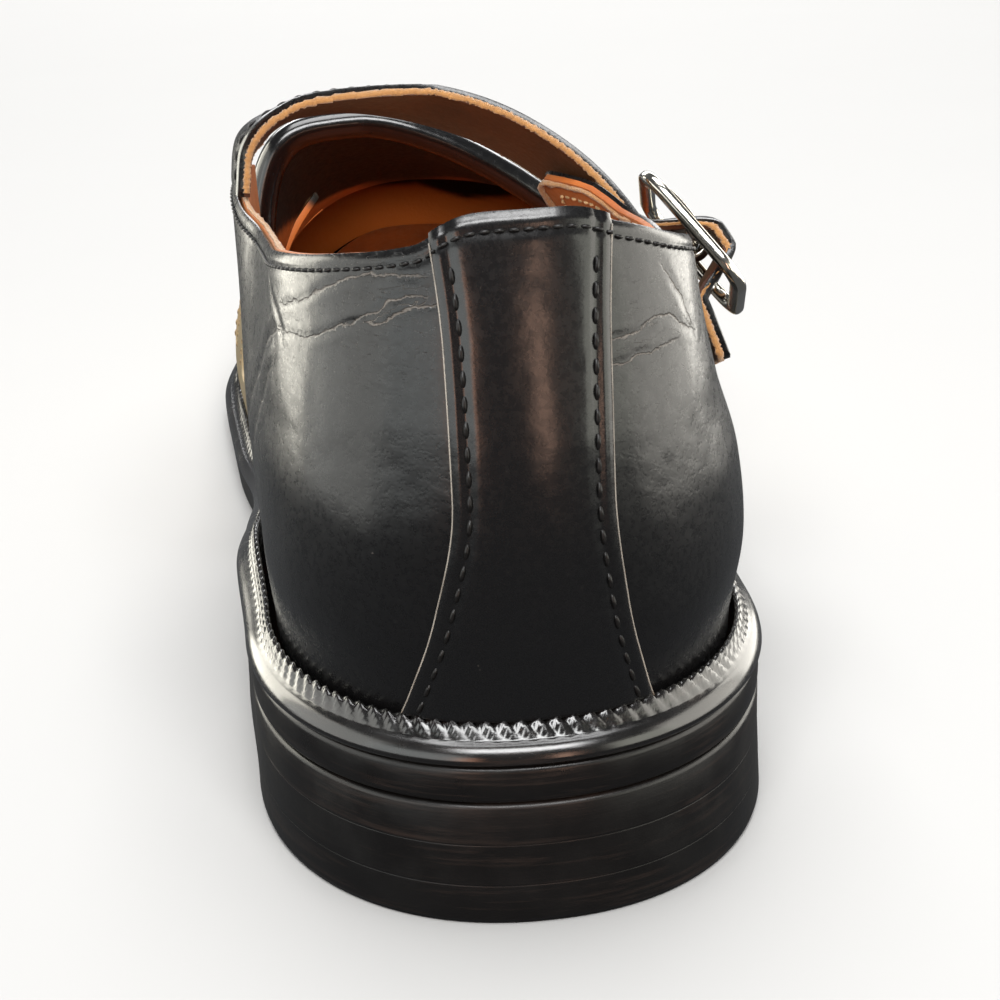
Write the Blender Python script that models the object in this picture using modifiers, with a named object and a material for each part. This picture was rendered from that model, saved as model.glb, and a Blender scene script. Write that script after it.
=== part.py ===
"""Fisherman sandal for the right foot, made of leather on a welted sole.

The closed back, the low band round the foot and the lining of the vamp are one hollow upper. The pale vamp
with its side slots, the strap down its middle and the strip up the back lie on that upper. A strap crosses
the instep from the inner quarter to a buckle on the outer quarter.

Metres, +Z up, +Y towards the toe, +X towards the outer side of the foot.
The origin is on the floor, in the middle of the sole's box. The tables are in the heel's own axes.
"""

import math
from collections import namedtuple
from functools import lru_cache

import bmesh
import bpy
import numpy as np
from mathutils import Matrix, Vector

# Sole, measured at the welt's edge
SOLE_LENGTH = 0.302
HEEL_ROUND = 0.046          # length of the round back
TOE_START = 0.212           # where the sides turn into the round toe
HEEL_POWER = 2.15           # squareness of the heel's outline, 2 is an ellipse
TOE_POWER = 2.25
TOE_SHIFT = 0.0085          # where the toe's tip lies across the heel's own middle line
HEEL_TURN = math.radians(3.5)  # the heel is drawn on its own middle line, which is turned against the sole's
GAP = 0.0003                # between pieces that meet
OUTSOLE = 0.0052
WELT = 0.0030
LEDGE = 0.0048              # how far the welt stands out from the upper
WELT_REACH = 0.0062         # how far the welt runs in under the upper
RIDGE_HEIGHT = 0.0027       # the ridge on the welt, beside the upper
RIDGE_NEAR = 0.0013
RIDGE_FAR = 0.0027
HEEL_BREAST = 0.078
HEEL_TAPER = -0.0005       # the heel flares out a little towards the floor
INSOLE = 0.0030
INSOLE_PLAY = 0.0014        # between the insole and the inside of the wall

# Upper
WALL = 0.0022               # quarter leather with its lining
LINING_SHARE = 0.55         # of that wall under the pale vamp
BAND = 0.0095               # height of the low band under the slots
FOOT_LIFT = 0.0004          # the wall's foot clears the welt, also where the wall leans in
SKIRT = 0.0034              # overlays start this far above the welt
OVERLAY = 0.0012
WALL_TOP = 0.1000           # the heel's wall is drawn up to here and then trimmed by the topline
DOME_FROM = 0.058           # behind this the sides are walls, past DOME_FULL they close over the instep
DOME_FULL = 0.104
TOE_RIDGE = 0.258           # the crest of the vamp ends here and falls to the toe
CREST_LEAN = 0.003          # the vamp's straps lean forwards by this much as they rise
THROAT = 0.131              # back edge of the vamp
THROAT_ROLL = 0.0036        # width of the rolled edge there
THROAT_RISE = 0.0014

# Instep strap and buckle
STRAP_THICK = 0.0022
STRAP_HALF = 0.0090         # at the buckle
PRONG_HOLE = 0.0018         # half width of the strap's hole
BUCKLE_WIDE = 0.0256        # across the strap
BUCKLE_BAR = 0.0024
BUCKLE_CLEAR = 0.0036       # the end bars stand this far off the strap, which humps over the middle bar
CHAPE_HALF = 0.0062
CHAPE_THICK = 0.0013

SideRow = namedtuple("SideRow", "y medial lateral")
HeightRow = namedtuple("HeightRow", "y z")
CrestRow = namedtuple("CrestRow", "y x z")
SectionRow = namedtuple(
    "SectionRow", "y swell_medial swell_lateral lean_medial lean_lateral square_medial square_lateral"
)
WallRow = namedtuple("WallRow", "y back medial lateral")
StrapRow = namedtuple("StrapRow", "y girth place rise lift half")

# Half widths of the welt between the heel's round and the toe's round, from the heel's middle line
SOLE_EDGE = [
    SideRow(0.046, 0.0377, 0.0377),
    SideRow(0.075, 0.0384, 0.0386),
    SideRow(0.105, 0.0366, 0.0428),
    SideRow(0.140, 0.0350, 0.0510),
    SideRow(0.175, 0.0380, 0.0604),
    SideRow(0.212, 0.0394, 0.0658),
]

# Underside of the outsole: heel seat, arch, flat tread, toe spring
UNDERSIDE = [
    HeightRow(0.000, 0.0181),
    HeightRow(0.070, 0.0178),
    HeightRow(0.105, 0.0115),
    HeightRow(0.140, 0.0032),
    HeightRow(0.168, 0.0),
    HeightRow(0.226, 0.0),
    HeightRow(0.262, 0.0034),
    HeightRow(0.302, 0.0125),
    HeightRow(0.330, 0.0205),
]

# Crest of the upper: the line over the instep and down to the toe
CREST = [
    CrestRow(0.050, -0.0140, 0.1040),
    CrestRow(0.080, -0.0160, 0.0958),
    CrestRow(0.105, -0.0160, 0.0883),
    CrestRow(0.130, -0.0115, 0.0825),
    CrestRow(0.160, -0.0040, 0.0700),
    CrestRow(0.195, 0.0020, 0.0575),
    CrestRow(0.230, 0.0050, 0.0500),
    CrestRow(0.262, 0.0062, 0.0460),
]

# Sections of the last: how far the side swells out low down and leans out high up, and how square the arch
# is (2 is an ellipse)
SECTIONS = [
    SectionRow(0.050, 0.0010, 0.0050, 0.0, 0.0, 5.5, 2.0),
    SectionRow(0.095, -0.0042, 0.0085, 0.0100, 0.0050, 3.4, 1.50),
    SectionRow(0.130, -0.0020, 0.0050, 0.0052, 0.0020, 3.2, 1.55),
    SectionRow(0.170, 0.0, 0.0034, 0.0, 0.0, 2.3, 1.85),
    SectionRow(0.210, 0.0008, 0.0026, 0.0, 0.0, 2.2, 2.1),
    SectionRow(0.250, 0.0018, 0.0022, 0.0, 0.0, 2.3, 2.3),
    SectionRow(0.302, 0.0022, 0.0022, 0.0, 0.0, 2.4, 2.4),
]

# Heel wall: how far it leans in from the sole at shares of its height, here in the y column
HEEL_WALL = [
    WallRow(0.00, 0.0, 0.0, 0.0),
    WallRow(0.20, -0.0021, -0.0010, -0.0020),
    WallRow(0.36, -0.0027, -0.0010, -0.0008),
    WallRow(0.52, -0.0020, 0.0006, 0.0024),
    WallRow(0.70, 0.0000, 0.0024, 0.0050),
    WallRow(0.88, 0.0030, 0.0034, 0.0062),
    WallRow(1.00, 0.0052, 0.0040, 0.0068),
]

# Top edge of the quarters from the heel's back to their front corners, then down their front edges
TOPLINE = [
    SideRow(0.000, 0.0945, 0.0945),
    SideRow(0.004, 0.0908, 0.0920),
    SideRow(0.014, 0.0885, 0.0880),
    SideRow(0.030, 0.0856, 0.0840),
    SideRow(0.057, 0.0812, 0.0782),
    SideRow(0.070, 0.0796, 0.0784),
    SideRow(0.080, 0.0796, 0.0812),
    SideRow(0.088, 0.0800, 0.0812),
    SideRow(0.098, 0.0808, 0.0720),
    SideRow(0.110, 0.0806, 0.0545),
    SideRow(0.119, 0.0600, 0.0430),
    SideRow(0.125, 0.0370, 0.0360),
]

# Half widths of the strip up the heel, here at heights in the y column
BACK_STRIP = [
    SideRow(0.020, 0.0195, 0.0168),
    SideRow(0.032, 0.0162, 0.0140),
    SideRow(0.044, 0.0128, 0.0113),
    SideRow(0.060, 0.0100, 0.0097),
    SideRow(0.078, 0.0099, 0.0100),
    SideRow(0.105, 0.0114, 0.0118),
]

# Slots between the vamp's cross straps, at the foot of the vamp
SLOTS = [(0.157, 0.165), (0.182, 0.190), (0.207, 0.2145)]

# The instep strap from the inner quarter over the crest and down to its free end. girth runs from -1 at the
# inner edge of the sole over 0 at the crest to 1 at the outer edge, place is how far along the foot, rise is
# the height of the strap's inner face over the quarter, lift how much higher its front edge stands than its
# back edge and half its half width. The y column orders the rows.
INSTEP_STRAP = [
    StrapRow(0.000, -0.480, 0.0970, -0.0022, 0.0, 0.0115),
    StrapRow(0.180, -0.300, 0.0990, -0.0016, 0.0, 0.0115),
    StrapRow(0.360, 0.000, 0.1000, -0.0006, 0.0018, 0.0115),
    StrapRow(0.500, 0.180, 0.0960, 0.0005, 0.0017, 0.0108),
    StrapRow(0.620, 0.325, 0.0905, 0.0006, 0.0003, 0.0098),
    StrapRow(0.715, 0.440, 0.0855, 0.0006, 0.0, 0.0092),
    StrapRow(0.785, 0.513, 0.0823, 0.0110, 0.0, 0.0090),
    StrapRow(0.815, 0.545, 0.0808, 0.0112, 0.0, 0.0090),
    StrapRow(0.880, 0.605, 0.0778, 0.0036, 0.0, 0.0090),
    StrapRow(0.940, 0.645, 0.0755, 0.0036, 0.0, 0.0088),
    StrapRow(1.000, 0.690, 0.0730, 0.0040, 0.0, 0.0080),
]
HALF_GIRTH = 0.092          # length of one unit of girth at the instep
STRAP_STEPS = 40
SEAM_GAP = 0.012            # in units of girth
SEAM_END = 0.18             # up to here the strap's foot follows the inner quarter's top edge
BUCKLE_TOP = 0.70           # the buckle's bars, in the strap table's order
BAR_AT = 0.80
BUCKLE_LOW = 0.895

COLOURS = {
    "black leather": (0.012, 0.012, 0.013, 0.38, 0.0),
    "cream leather": (0.72, 0.58, 0.38, 0.55, 0.0),
    "tan leather": (0.42, 0.15, 0.045, 0.55, 0.0),
    "black edge": (0.010, 0.009, 0.009, 0.45, 0.0),
    "nickel": (0.78, 0.77, 0.73, 0.22, 1.0),
}

HEEL_COLUMNS = 8            # steps round each half of the heel
TOE_COLUMNS = 8
ROWS = 10                   # steps up the upper's wall
BAND_ROW = 2                # rows below this are the low band
SPINE_ROW = 7               # rows above this are the vamp's closed middle
NUDGE = 0.0005              # step for slopes of the outline and of the last
SWELL_SCALE = 27 / 4        # makes s * (1 - s) ** 2 reach 1 at its highest


def main():
    for obj in list(bpy.data.objects):
        bpy.data.objects.remove(obj)
    parts = bpy.data.collections.new("fisherman_sandal")
    cutters = bpy.data.collections.new("cutters")
    bpy.context.scene.collection.children.link(parts)
    bpy.context.scene.collection.children.link(cutters)
    make_sole(parts)
    make_upper(parts)
    make_vamp(parts)
    make_back_strip(parts, cutters)
    make_instep_strap(parts)
    make_buckle(parts, cutters)


# Tables and curves

def along(rows, column, y):
    """Value of a table's column at y, smooth and never past its neighbours."""
    return _along(tuple(row.y for row in rows), tuple(getattr(row, column) for row in rows), round(y, 6))


@lru_cache(maxsize=None)
def _along(places, values, y):
    ys, vs = np.array(places), np.array(values)
    y = min(max(y, ys[0]), ys[-1])
    rise = np.diff(vs) / np.diff(ys)
    slope = np.zeros(len(ys))
    for i in range(1, len(ys) - 1):
        if rise[i - 1] * rise[i] > 0:
            slope[i] = 2 * rise[i - 1] * rise[i] / (rise[i - 1] + rise[i])
    i = min(int(np.searchsorted(ys, y, side="right")) - 1, len(ys) - 2)
    span = ys[i + 1] - ys[i]
    t = (y - ys[i]) / span
    return float(
        vs[i] * (1 + 2 * t) * (1 - t) ** 2
        + vs[i + 1] * t * t * (3 - 2 * t)
        + span * slope[i] * t * (1 - t) ** 2
        - span * slope[i + 1] * t * t * (1 - t)
    )


def round_reach(across, lengthways, power):
    """Distance to a rounded outline along a direction given in its own half sizes."""
    return (abs(across) ** power + abs(lengthways) ** power) ** (-1 / power)


def smoothstep(low, high, value):
    t = min(max((value - low) / (high - low), 0.0), 1.0)
    return t * t * (3 - 2 * t)


# Outline of the sole and surface of the last. A column w runs from -3 to 3: 0 is the middle of the heel's
# back, 1 the end of the heel's round, 2 the start of the toe's round and 3 the toe's tip, and the inner side
# of the foot is negative.

@lru_cache(maxsize=None)
def rim(w):
    """Point of the welt's edge, from above."""
    side, column = (-1, "medial") if w < 0 else (1, "lateral")
    part = abs(w)
    if part <= 1:
        turn = part * math.pi / 2
        half = along(SOLE_EDGE, column, HEEL_ROUND)
        reach = round_reach(math.sin(turn) / half, math.cos(turn) / HEEL_ROUND, HEEL_POWER)
        return side * reach * math.sin(turn), HEEL_ROUND - reach * math.cos(turn)
    if part <= 2:
        y = HEEL_ROUND + (part - 1) * (TOE_START - HEEL_ROUND)
        return side * along(SOLE_EDGE, column, y), y
    turn = (part - 2) * math.pi / 2
    half = along(SOLE_EDGE, column, TOE_START)
    reach = round_reach(math.cos(turn) / half, math.sin(turn) / (SOLE_LENGTH - TOE_START), TOE_POWER)
    x = side * reach * math.cos(turn) + TOE_SHIFT * math.sin(turn) ** 2
    return x, TOE_START + reach * math.sin(turn)


@lru_cache(maxsize=None)
def inward(w):
    """Unit direction from the welt's edge into the sole."""
    (xa, ya), (xb, yb) = rim(w - NUDGE), rim(w + NUDGE)
    size = math.hypot(xb - xa, yb - ya)
    return -(yb - ya) / size, (xb - xa) / size


def inset(w, distance):
    (x, y), (nx, ny) = rim(w), inward(w)
    return x + nx * distance, y + ny * distance


def column_at(y, side):
    """Column whose welt edge lies y along the foot, on the straight stretch of the side."""
    return side * (1 + (y - HEEL_ROUND) / (TOE_START - HEEL_ROUND))


def underside(y):
    return along(UNDERSIDE, "z", y)


def welt_foot(y):
    return underside(y) + OUTSOLE + GAP


def feather_height(y):
    return welt_foot(y) + WELT + GAP


def last_point(w, s):
    """Outer surface of the upper: s runs from 0 at the sole to 1 at the crest."""
    column = "medial" if w < 0 else "lateral"
    (x, y), (nx, ny) = inset(w, LEDGE), inward(w)
    z = feather_height(y)
    edge_y = rim(w)[1]

    sideways = math.sin(min(abs(w), 1.0) * math.pi / 2) ** 2
    lean = along(HEEL_WALL, column, s) * sideways + along(HEEL_WALL, "back", s) * (1 - sideways)
    wall = Vector((x + nx * lean, y + ny * lean, z + s * (WALL_TOP - z)))
    share = smoothstep(DOME_FROM, DOME_FULL, edge_y)
    if share == 0:
        return wall

    part = abs(w)
    crest_y = edge_y + CREST_LEAN * smoothstep(DOME_FROM, THROAT, edge_y)
    if part > 2:
        crest_y = TOE_START + CREST_LEAN
        crest_y += (TOE_RIDGE - crest_y) * math.sin((part - 2) * math.pi / 2)
    crest = Vector((along(CREST, "x", crest_y), crest_y, along(CREST, "z", crest_y)))
    turn = s * math.pi / 2
    reach = round_reach(math.cos(turn), math.sin(turn), along(SECTIONS, "square_" + column, edge_y))
    over = 1 - reach * math.cos(turn)
    up = reach * math.sin(turn)
    low_swell = along(SECTIONS, "swell_" + column, edge_y)
    high_lean = along(SECTIONS, "lean_" + column, edge_y)
    swell = SWELL_SCALE * s * (1 - s) * (low_swell * (1 - s) + high_lean * s)
    dome = Vector((
        x + (crest.x - x) * over - nx * swell,
        y + (crest.y - y) * over - ny * swell,
        z + (crest.z - z) * up,
    ))
    return wall.lerp(dome, share)


def outward(w, s):
    """Unit direction out of the last."""
    step = NUDGE * 4
    if s > 1 - step:
        w, s = abs(w), 1.0
        up_wall = last_point(-w, 1 - step) - last_point(w, 1 - step)
    else:
        up_wall = last_point(w, s + step) - last_point(w, max(s - step, 0.0))
    along_foot = last_point(w + step, s) - last_point(w - step, s)
    return along_foot.cross(up_wall).normalized()


def last(w, s, out=0.0):
    return last_point(w, s) + outward(w, s) * out


@lru_cache(maxsize=None)
def height_share(w, z):
    """Share s at which column w of the last reaches height z."""
    low, high = 0.0, 1.0
    for _ in range(24):
        middle = (low + high) / 2
        if last_point(w, middle).z < z:
            low = middle
        else:
            high = middle
    return (low + high) / 2


# Columns and rows that the upper and everything on it share

def half_columns():
    """Columns of one side, from the heel's back to the toe's tip."""
    places = [0.055, 0.066, 0.077, 0.084, 0.091, 0.098, 0.104, 0.110, 0.1145, 0.119, 0.122, 0.125]
    places += [THROAT, THROAT + THROAT_ROLL, THROAT + THROAT_ROLL + GAP]
    places += [0.143, 0.150]
    for start, end in SLOTS:
        places += [start, end, (end + next_start(end)) / 2]
    heel = [i / HEEL_COLUMNS for i in range(HEEL_COLUMNS + 1)]
    sides = [column_at(y, 1) for y in places if y < TOE_START]
    toe_from = 2 + 0.06
    toe = [toe_from + (3 - toe_from) * i / TOE_COLUMNS for i in range(TOE_COLUMNS + 1)]
    return heel + sides + toe


def next_start(y):
    """Where the next slot starts past y, or the toe."""
    later = [start for start, _ in SLOTS if start > y]
    return later[0] if later else TOE_START + 0.004


def foot_of(w):
    """How far along the foot column w starts."""
    return rim(w)[1]


def in_slot(a, b):
    """Whether the stretch between columns a and b is a slot."""
    middle = foot_of((a + b) / 2)
    return any(start < middle < end for start, end in SLOTS)


@lru_cache(maxsize=None)
def row_share(w, row):
    """Share s of a row of the upper's wall at column w."""
    column = "medial" if w < 0 else "lateral"
    z = feather_height(inset(w, LEDGE)[1])
    skirt = height_share(w, z + SKIRT)
    band = height_share(w, z + BAND)
    if row == 0:
        return height_share(w, z + FOOT_LIFT)
    if row == 1:
        return skirt
    if row == BAND_ROW:
        return band
    top = 1.0
    if foot_of(w) < THROAT - NUDGE:
        top = height_share(w, along(TOPLINE, column, foot_of(w)))
    return band + (top - band) * (row - BAND_ROW) / (ROWS - BAND_ROW)


# Meshes

@lru_cache(maxsize=None)
def placing():
    """Turns the heel's middle line to the sole's, and puts the origin in the middle of the sole's box."""
    turn = Matrix.Rotation(HEEL_TURN, 4, "Z")
    edge = [turn @ Vector((*rim(-3 + 6 * i / 600), 0)) for i in range(601)]
    middle = [(min(p[axis] for p in edge) + max(p[axis] for p in edge)) / 2 for axis in (0, 1)]
    return Matrix.Translation((-middle[0], -middle[1], 0)) @ turn


def new_object(name, bm, collection, colour):
    """Object from a bmesh that was made in the heel's axes, put in the part's axes."""
    bmesh.ops.transform(bm, matrix=placing(), verts=bm.verts)
    mesh = bpy.data.meshes.new(name)
    bm.to_mesh(mesh)
    bm.free()
    mesh.shade_smooth()
    mesh.set_sharp_from_angle(angle=math.radians(35))
    obj = bpy.data.objects.new(name, mesh)
    collection.objects.link(obj)
    if colour:
        mesh.materials.append(material(colour))
    return obj


def material(name):
    found = bpy.data.materials.get(name)
    if found:
        return found
    red, green, blue, roughness, metallic = COLOURS[name]
    made = bpy.data.materials.new(name)
    made.use_nodes = True
    shader = made.node_tree.nodes["Principled BSDF"]
    shader.inputs["Base Color"].default_value = (red, green, blue, 1)
    shader.inputs["Roughness"].default_value = roughness
    shader.inputs["Metallic"].default_value = metallic
    return made


def sheet(columns, rows, point, keep):
    """Open surface through point(column, row), with the cells that keep allows."""
    bm = bmesh.new()
    made = {}

    def vertex(w, row):
        spot = point(abs(w) if abs(w) == 3 else w, row)
        key = tuple(round(v, 7) for v in spot)
        if key not in made:
            made[key] = bm.verts.new(spot)
        return made[key]

    for a, b in zip(columns, columns[1:]):
        for low, high in zip(rows, rows[1:]):
            if not keep(a, b, low):
                continue
            corners = [vertex(a, low), vertex(b, low), vertex(b, high), vertex(a, high)]
            corners = list(dict.fromkeys(corners))
            if len(corners) > 2:
                bm.faces.new(corners)
    return bm


def solidify(obj, thickness, offset, even=True):
    shell = obj.modifiers.new("wall", "SOLIDIFY")
    shell.thickness = thickness
    shell.offset = offset
    shell.use_even_offset = even
    return shell


def slab(columns, levels):
    """Closed slab across the sole. Each level is an inset from the welt's edge and a height function."""
    bm = bmesh.new()
    rings = []
    for distance, height in levels:
        pairs = []
        for w in columns:
            ends = []
            for side in (-1, 1):
                x, y = inset(side * w, distance)
                ends.append(bm.verts.new((x, y, height(y))))
                if w in (0, 3):
                    ends *= 2
                    break
            pairs.append(ends)
        rings.append(pairs)

    def face(*corners):
        corners = list(dict.fromkeys(corners))
        if len(corners) > 2:
            bm.faces.new(corners)

    for pairs in (rings[0], rings[-1]):
        for (a, b), (c, d) in zip(pairs, pairs[1:]):
            face(a, b, d, c)
    for lower, upper in zip(rings, rings[1:]):
        for side in (0, 1):
            for i in range(len(columns) - 1):
                face(lower[i][side], lower[i + 1][side], upper[i + 1][side], upper[i][side])
        face(lower[-1][0], lower[-1][1], upper[-1][1], upper[-1][0])
    bmesh.ops.recalc_face_normals(bm, faces=bm.faces)
    return bm


# Pieces

def make_sole(parts):
    sides = [1 + i / 18 for i in range(19)]
    heel = [i / 9 for i in range(9)]
    toe = [2 + (i + 1) / 12 for i in range(12)]
    columns = heel + sides + toe
    edge = [
        (0.0016, lambda y: underside(y)),
        (0.0007, lambda y: underside(y) + 0.0008),
        (0.0007, lambda y: underside(y) + OUTSOLE - 0.0010),
        (0.0012, lambda y: underside(y) + OUTSOLE - 0.0005),
        (0.0012, lambda y: underside(y) + OUTSOLE),
    ]
    new_object("outsole", slab(columns, edge), parts, "black edge")

    breast = (HEEL_BREAST - HEEL_ROUND) / (TOE_START - HEEL_ROUND)
    columns = heel + [1 + breast * i / 3 for i in range(4)]
    lift = [
        (0.0008 + HEEL_TAPER + 0.0006, lambda y: 0.0),
        (0.0008 + HEEL_TAPER, lambda y: 0.0006),
        (0.0008, lambda y: underside(y) - GAP - 0.0006),
        (0.0014, lambda y: underside(y) - GAP),
    ]
    new_object("heel", slab(columns, lift), parts, "black edge")

    columns = heel + sides + toe
    inside = LEDGE + WALL + INSOLE_PLAY
    footbed = [
        (inside + 0.0004, lambda y: feather_height(y)),
        (inside, lambda y: feather_height(y) + 0.0004),
        (inside, lambda y: feather_height(y) + INSOLE - 0.0006),
        (inside + 0.0008, lambda y: feather_height(y) + INSOLE),
    ]
    new_object("insole", slab(columns, footbed), parts, "tan leather")
    make_welt(parts, columns)


def make_welt(parts, columns):
    """Strip all round the sole, with a rounded rim and a raised ridge beside the upper."""
    top = WELT + RIDGE_HEIGHT
    section = [
        (LEDGE + WELT_REACH, 0.0),
        (0.0003, 0.0),
        (0.0, 0.0004),
        (0.0, WELT - 0.0008),
        (0.0005, WELT),
        (LEDGE - RIDGE_FAR, WELT),
        (LEDGE - RIDGE_FAR + 0.0003, top - 0.0004),
        (LEDGE - RIDGE_FAR + 0.0006, top),
        (LEDGE - RIDGE_NEAR, top),
        (LEDGE - RIDGE_NEAR, WELT),
        (LEDGE + WELT_REACH, WELT),
    ]
    bm = bmesh.new()
    rings = []
    loop = [-w for w in reversed(columns[1:])] + columns[:-1]
    for w in loop:
        ring = []
        for distance, rise in section:
            x, y = inset(w, distance)
            ring.append(bm.verts.new((x, y, welt_foot(y) + rise)))
        rings.append(ring)
    count = len(section)
    for ring, after in zip(rings, rings[1:] + rings[:1]):
        for i in range(count):
            j = (i + 1) % count
            bm.faces.new((ring[i], ring[j], after[j], after[i]))
    bmesh.ops.recalc_face_normals(bm, faces=bm.faces)
    new_object("welt", bm, parts, "black edge")


def both_sides():
    half = half_columns()
    return [-w for w in reversed(half[1:])] + half


def upper_keeps(a, b, row):
    """Cells of the upper: quarters, low band, and the vamp's lining without its slots."""
    middle = (foot_of(a) + foot_of(b)) / 2
    if row < BAND_ROW:
        return True
    if TOPLINE[-1].y < middle < THROAT:
        return False
    return not (in_slot(a, b) and row < SPINE_ROW)


def vamp_keeps(a, b, row):
    """Cells of the pale vamp, which starts in front of the rolled edge and above the welt's ridge."""
    middle = (foot_of(a) + foot_of(b)) / 2
    return middle > THROAT + THROAT_ROLL + GAP and row >= 1 and upper_keeps(a, b, row)


def roll_rise(w):
    """The upper's rolled edge at the back of the vamp stands up by this much."""
    return THROAT_RISE if THROAT - NUDGE < foot_of(w) < THROAT + THROAT_ROLL + GAP / 2 else 0.0


def make_upper(parts):
    columns, rows = both_sides(), list(range(ROWS + 1))

    def point(w, row):
        rise = roll_rise(w) if row > BAND_ROW else 0.0
        return last(w, row_share(w, row), rise)

    obj = new_object("upper", sheet(columns, rows, point, upper_keeps), parts, "black leather")
    shell = solidify(obj, WALL, -1)
    quarters = obj.vertex_groups.new(name="full wall")
    back = placing().inverted()
    limit = THROAT + THROAT_ROLL + GAP
    full = [v.index for v in obj.data.vertices if (back @ v.co).y < limit]
    quarters.add(full, 1.0, "REPLACE")
    shell.vertex_group = quarters.name
    shell.thickness_vertex_group = LINING_SHARE


def make_vamp(parts):
    """Pale vamp with slots, and the strap down its middle."""
    columns, rows = both_sides(), list(range(ROWS + 1))

    def vamp_point(w, row):
        return last(w, row_share(w, row), GAP)

    obj = new_object("vamp", sheet(columns, rows, vamp_point, vamp_keeps), parts, "cream leather")
    solidify(obj, OVERLAY, 1)

    spine_out = GAP + OVERLAY + GAP

    def spine_point(w, row):
        return last(w, row_share(w, row), spine_out)

    def spine_keeps(a, b, row):
        middle = (foot_of(a) + foot_of(b)) / 2
        toe_end = SLOTS[-1][1] + 0.012
        return THROAT + THROAT_ROLL + GAP < middle < toe_end and row >= SPINE_ROW + 1

    obj = new_object("centre_strap", sheet(columns, rows, spine_point, spine_keeps), parts, "cream leather")
    solidify(obj, OVERLAY, 1)


def make_back_strip(parts, cutters):
    """Strip up the heel: a layer over the upper's back, cut to an hourglass outline."""
    reach = 5 / HEEL_COLUMNS
    columns = [w for w in both_sides() if abs(w) <= reach + NUDGE]

    def point(w, row):
        return last(w, row_share(w, row), GAP)

    obj = new_object(
        "back_strip", sheet(columns, list(range(1, ROWS + 1)), point, lambda a, b, row: True),
        parts, "black leather",
    )
    solidify(obj, OVERLAY, 1)

    bm = bmesh.new()
    rings = []
    for y in (-0.02, HEEL_ROUND):
        ring = [bm.verts.new((-row.medial, y, row.y)) for row in BACK_STRIP]
        ring += [bm.verts.new((row.lateral, y, row.y)) for row in reversed(BACK_STRIP)]
        rings.append(ring)
    bm.faces.new(rings[0])
    bm.faces.new(rings[1])
    count = len(rings[0])
    for i in range(count):
        j = (i + 1) % count
        bm.faces.new((rings[0][i], rings[0][j], rings[1][j], rings[1][i]))
    bmesh.ops.recalc_face_normals(bm, faces=bm.faces)
    cutter = new_object("back_strip_outline", bm, cutters, None)
    cutter.hide_render = True
    cutter.display_type = "WIRE"
    cut = obj.modifiers.new("outline", "BOOLEAN")
    cut.operation = "INTERSECT"
    cut.object = cutter


def topline_share(w):
    column = "medial" if w < 0 else "lateral"
    return height_share(w, along(TOPLINE, column, foot_of(w)))


def strap_point(order, across, rise=0.0):
    """Point of the instep strap's inner face: across runs from -1 at its back edge to 1 at its front edge."""
    before, after = max(order - 0.01, 0.0), min(order + 0.01, 1.0)
    run = (along(INSTEP_STRAP, "girth", after) - along(INSTEP_STRAP, "girth", before)) * HALF_GIRTH
    drift = along(INSTEP_STRAP, "place", after) - along(INSTEP_STRAP, "place", before)
    size = math.hypot(run, drift)
    sideways = across * along(INSTEP_STRAP, "half", order) / size
    place = along(INSTEP_STRAP, "place", order) + sideways * run
    girth = along(INSTEP_STRAP, "girth", order) - sideways * drift / HALF_GIRTH
    if order < SEAM_END:
        seam = topline_share(column_at(place, -1)) - 1 + SEAM_GAP
        girth = seam + (along(INSTEP_STRAP, "girth", SEAM_END) - seam) * order / SEAM_END
    lift = along(INSTEP_STRAP, "lift", order) * (1 + across) / 2
    height = along(INSTEP_STRAP, "rise", order) + lift + rise
    side = -1 if girth < 0 else 1
    return last(column_at(place, side), 1 - abs(girth), height)


def strap_sheet(orders, edges, rise, keep):
    """Open surface along the instep strap's path, edges being shares of the strap's half width."""
    bm = bmesh.new()
    grid = [[bm.verts.new(strap_point(order, edge, rise(order))) for edge in edges] for order in orders]
    for i in range(len(orders) - 1):
        for j in range(len(edges) - 1):
            if keep((orders[i] + orders[i + 1]) / 2, (edges[j] + edges[j + 1]) / 2):
                bm.faces.new((grid[i][j], grid[i + 1][j], grid[i + 1][j + 1], grid[i][j + 1]))
    return bm


def make_instep_strap(parts):
    orders = [i / STRAP_STEPS for i in range(STRAP_STEPS + 1)]
    hole = PRONG_HOLE / STRAP_HALF

    def keep(order, edge):
        return abs(edge) > hole or not BAR_AT - 0.05 < order < BAR_AT + 0.025

    bm = strap_sheet(orders, [-1.0, -0.55, -hole, hole, 0.55, 1.0], lambda order: 0.0, keep)
    obj = new_object("instep_strap", bm, parts, "black leather")
    solidify(obj, STRAP_THICK, 1, even=False)


def buckle_axes():
    """Middle of the buckle, and its directions along the strap, across it and out of the shoe."""
    over = STRAP_THICK + BUCKLE_CLEAR + BUCKLE_BAR / 2
    top = strap_point(BUCKLE_TOP, 0, over)
    low = strap_point(BUCKLE_LOW, 0, over)
    down = (low - top).normalized()
    across = sum((strap_point(bar, 1) - strap_point(bar, -1) for bar in (BUCKLE_TOP, BUCKLE_LOW)), Vector())
    out = down.cross(across).normalized()
    return (top + low) / 2, (low - top).length, down, out.cross(down), out


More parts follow.
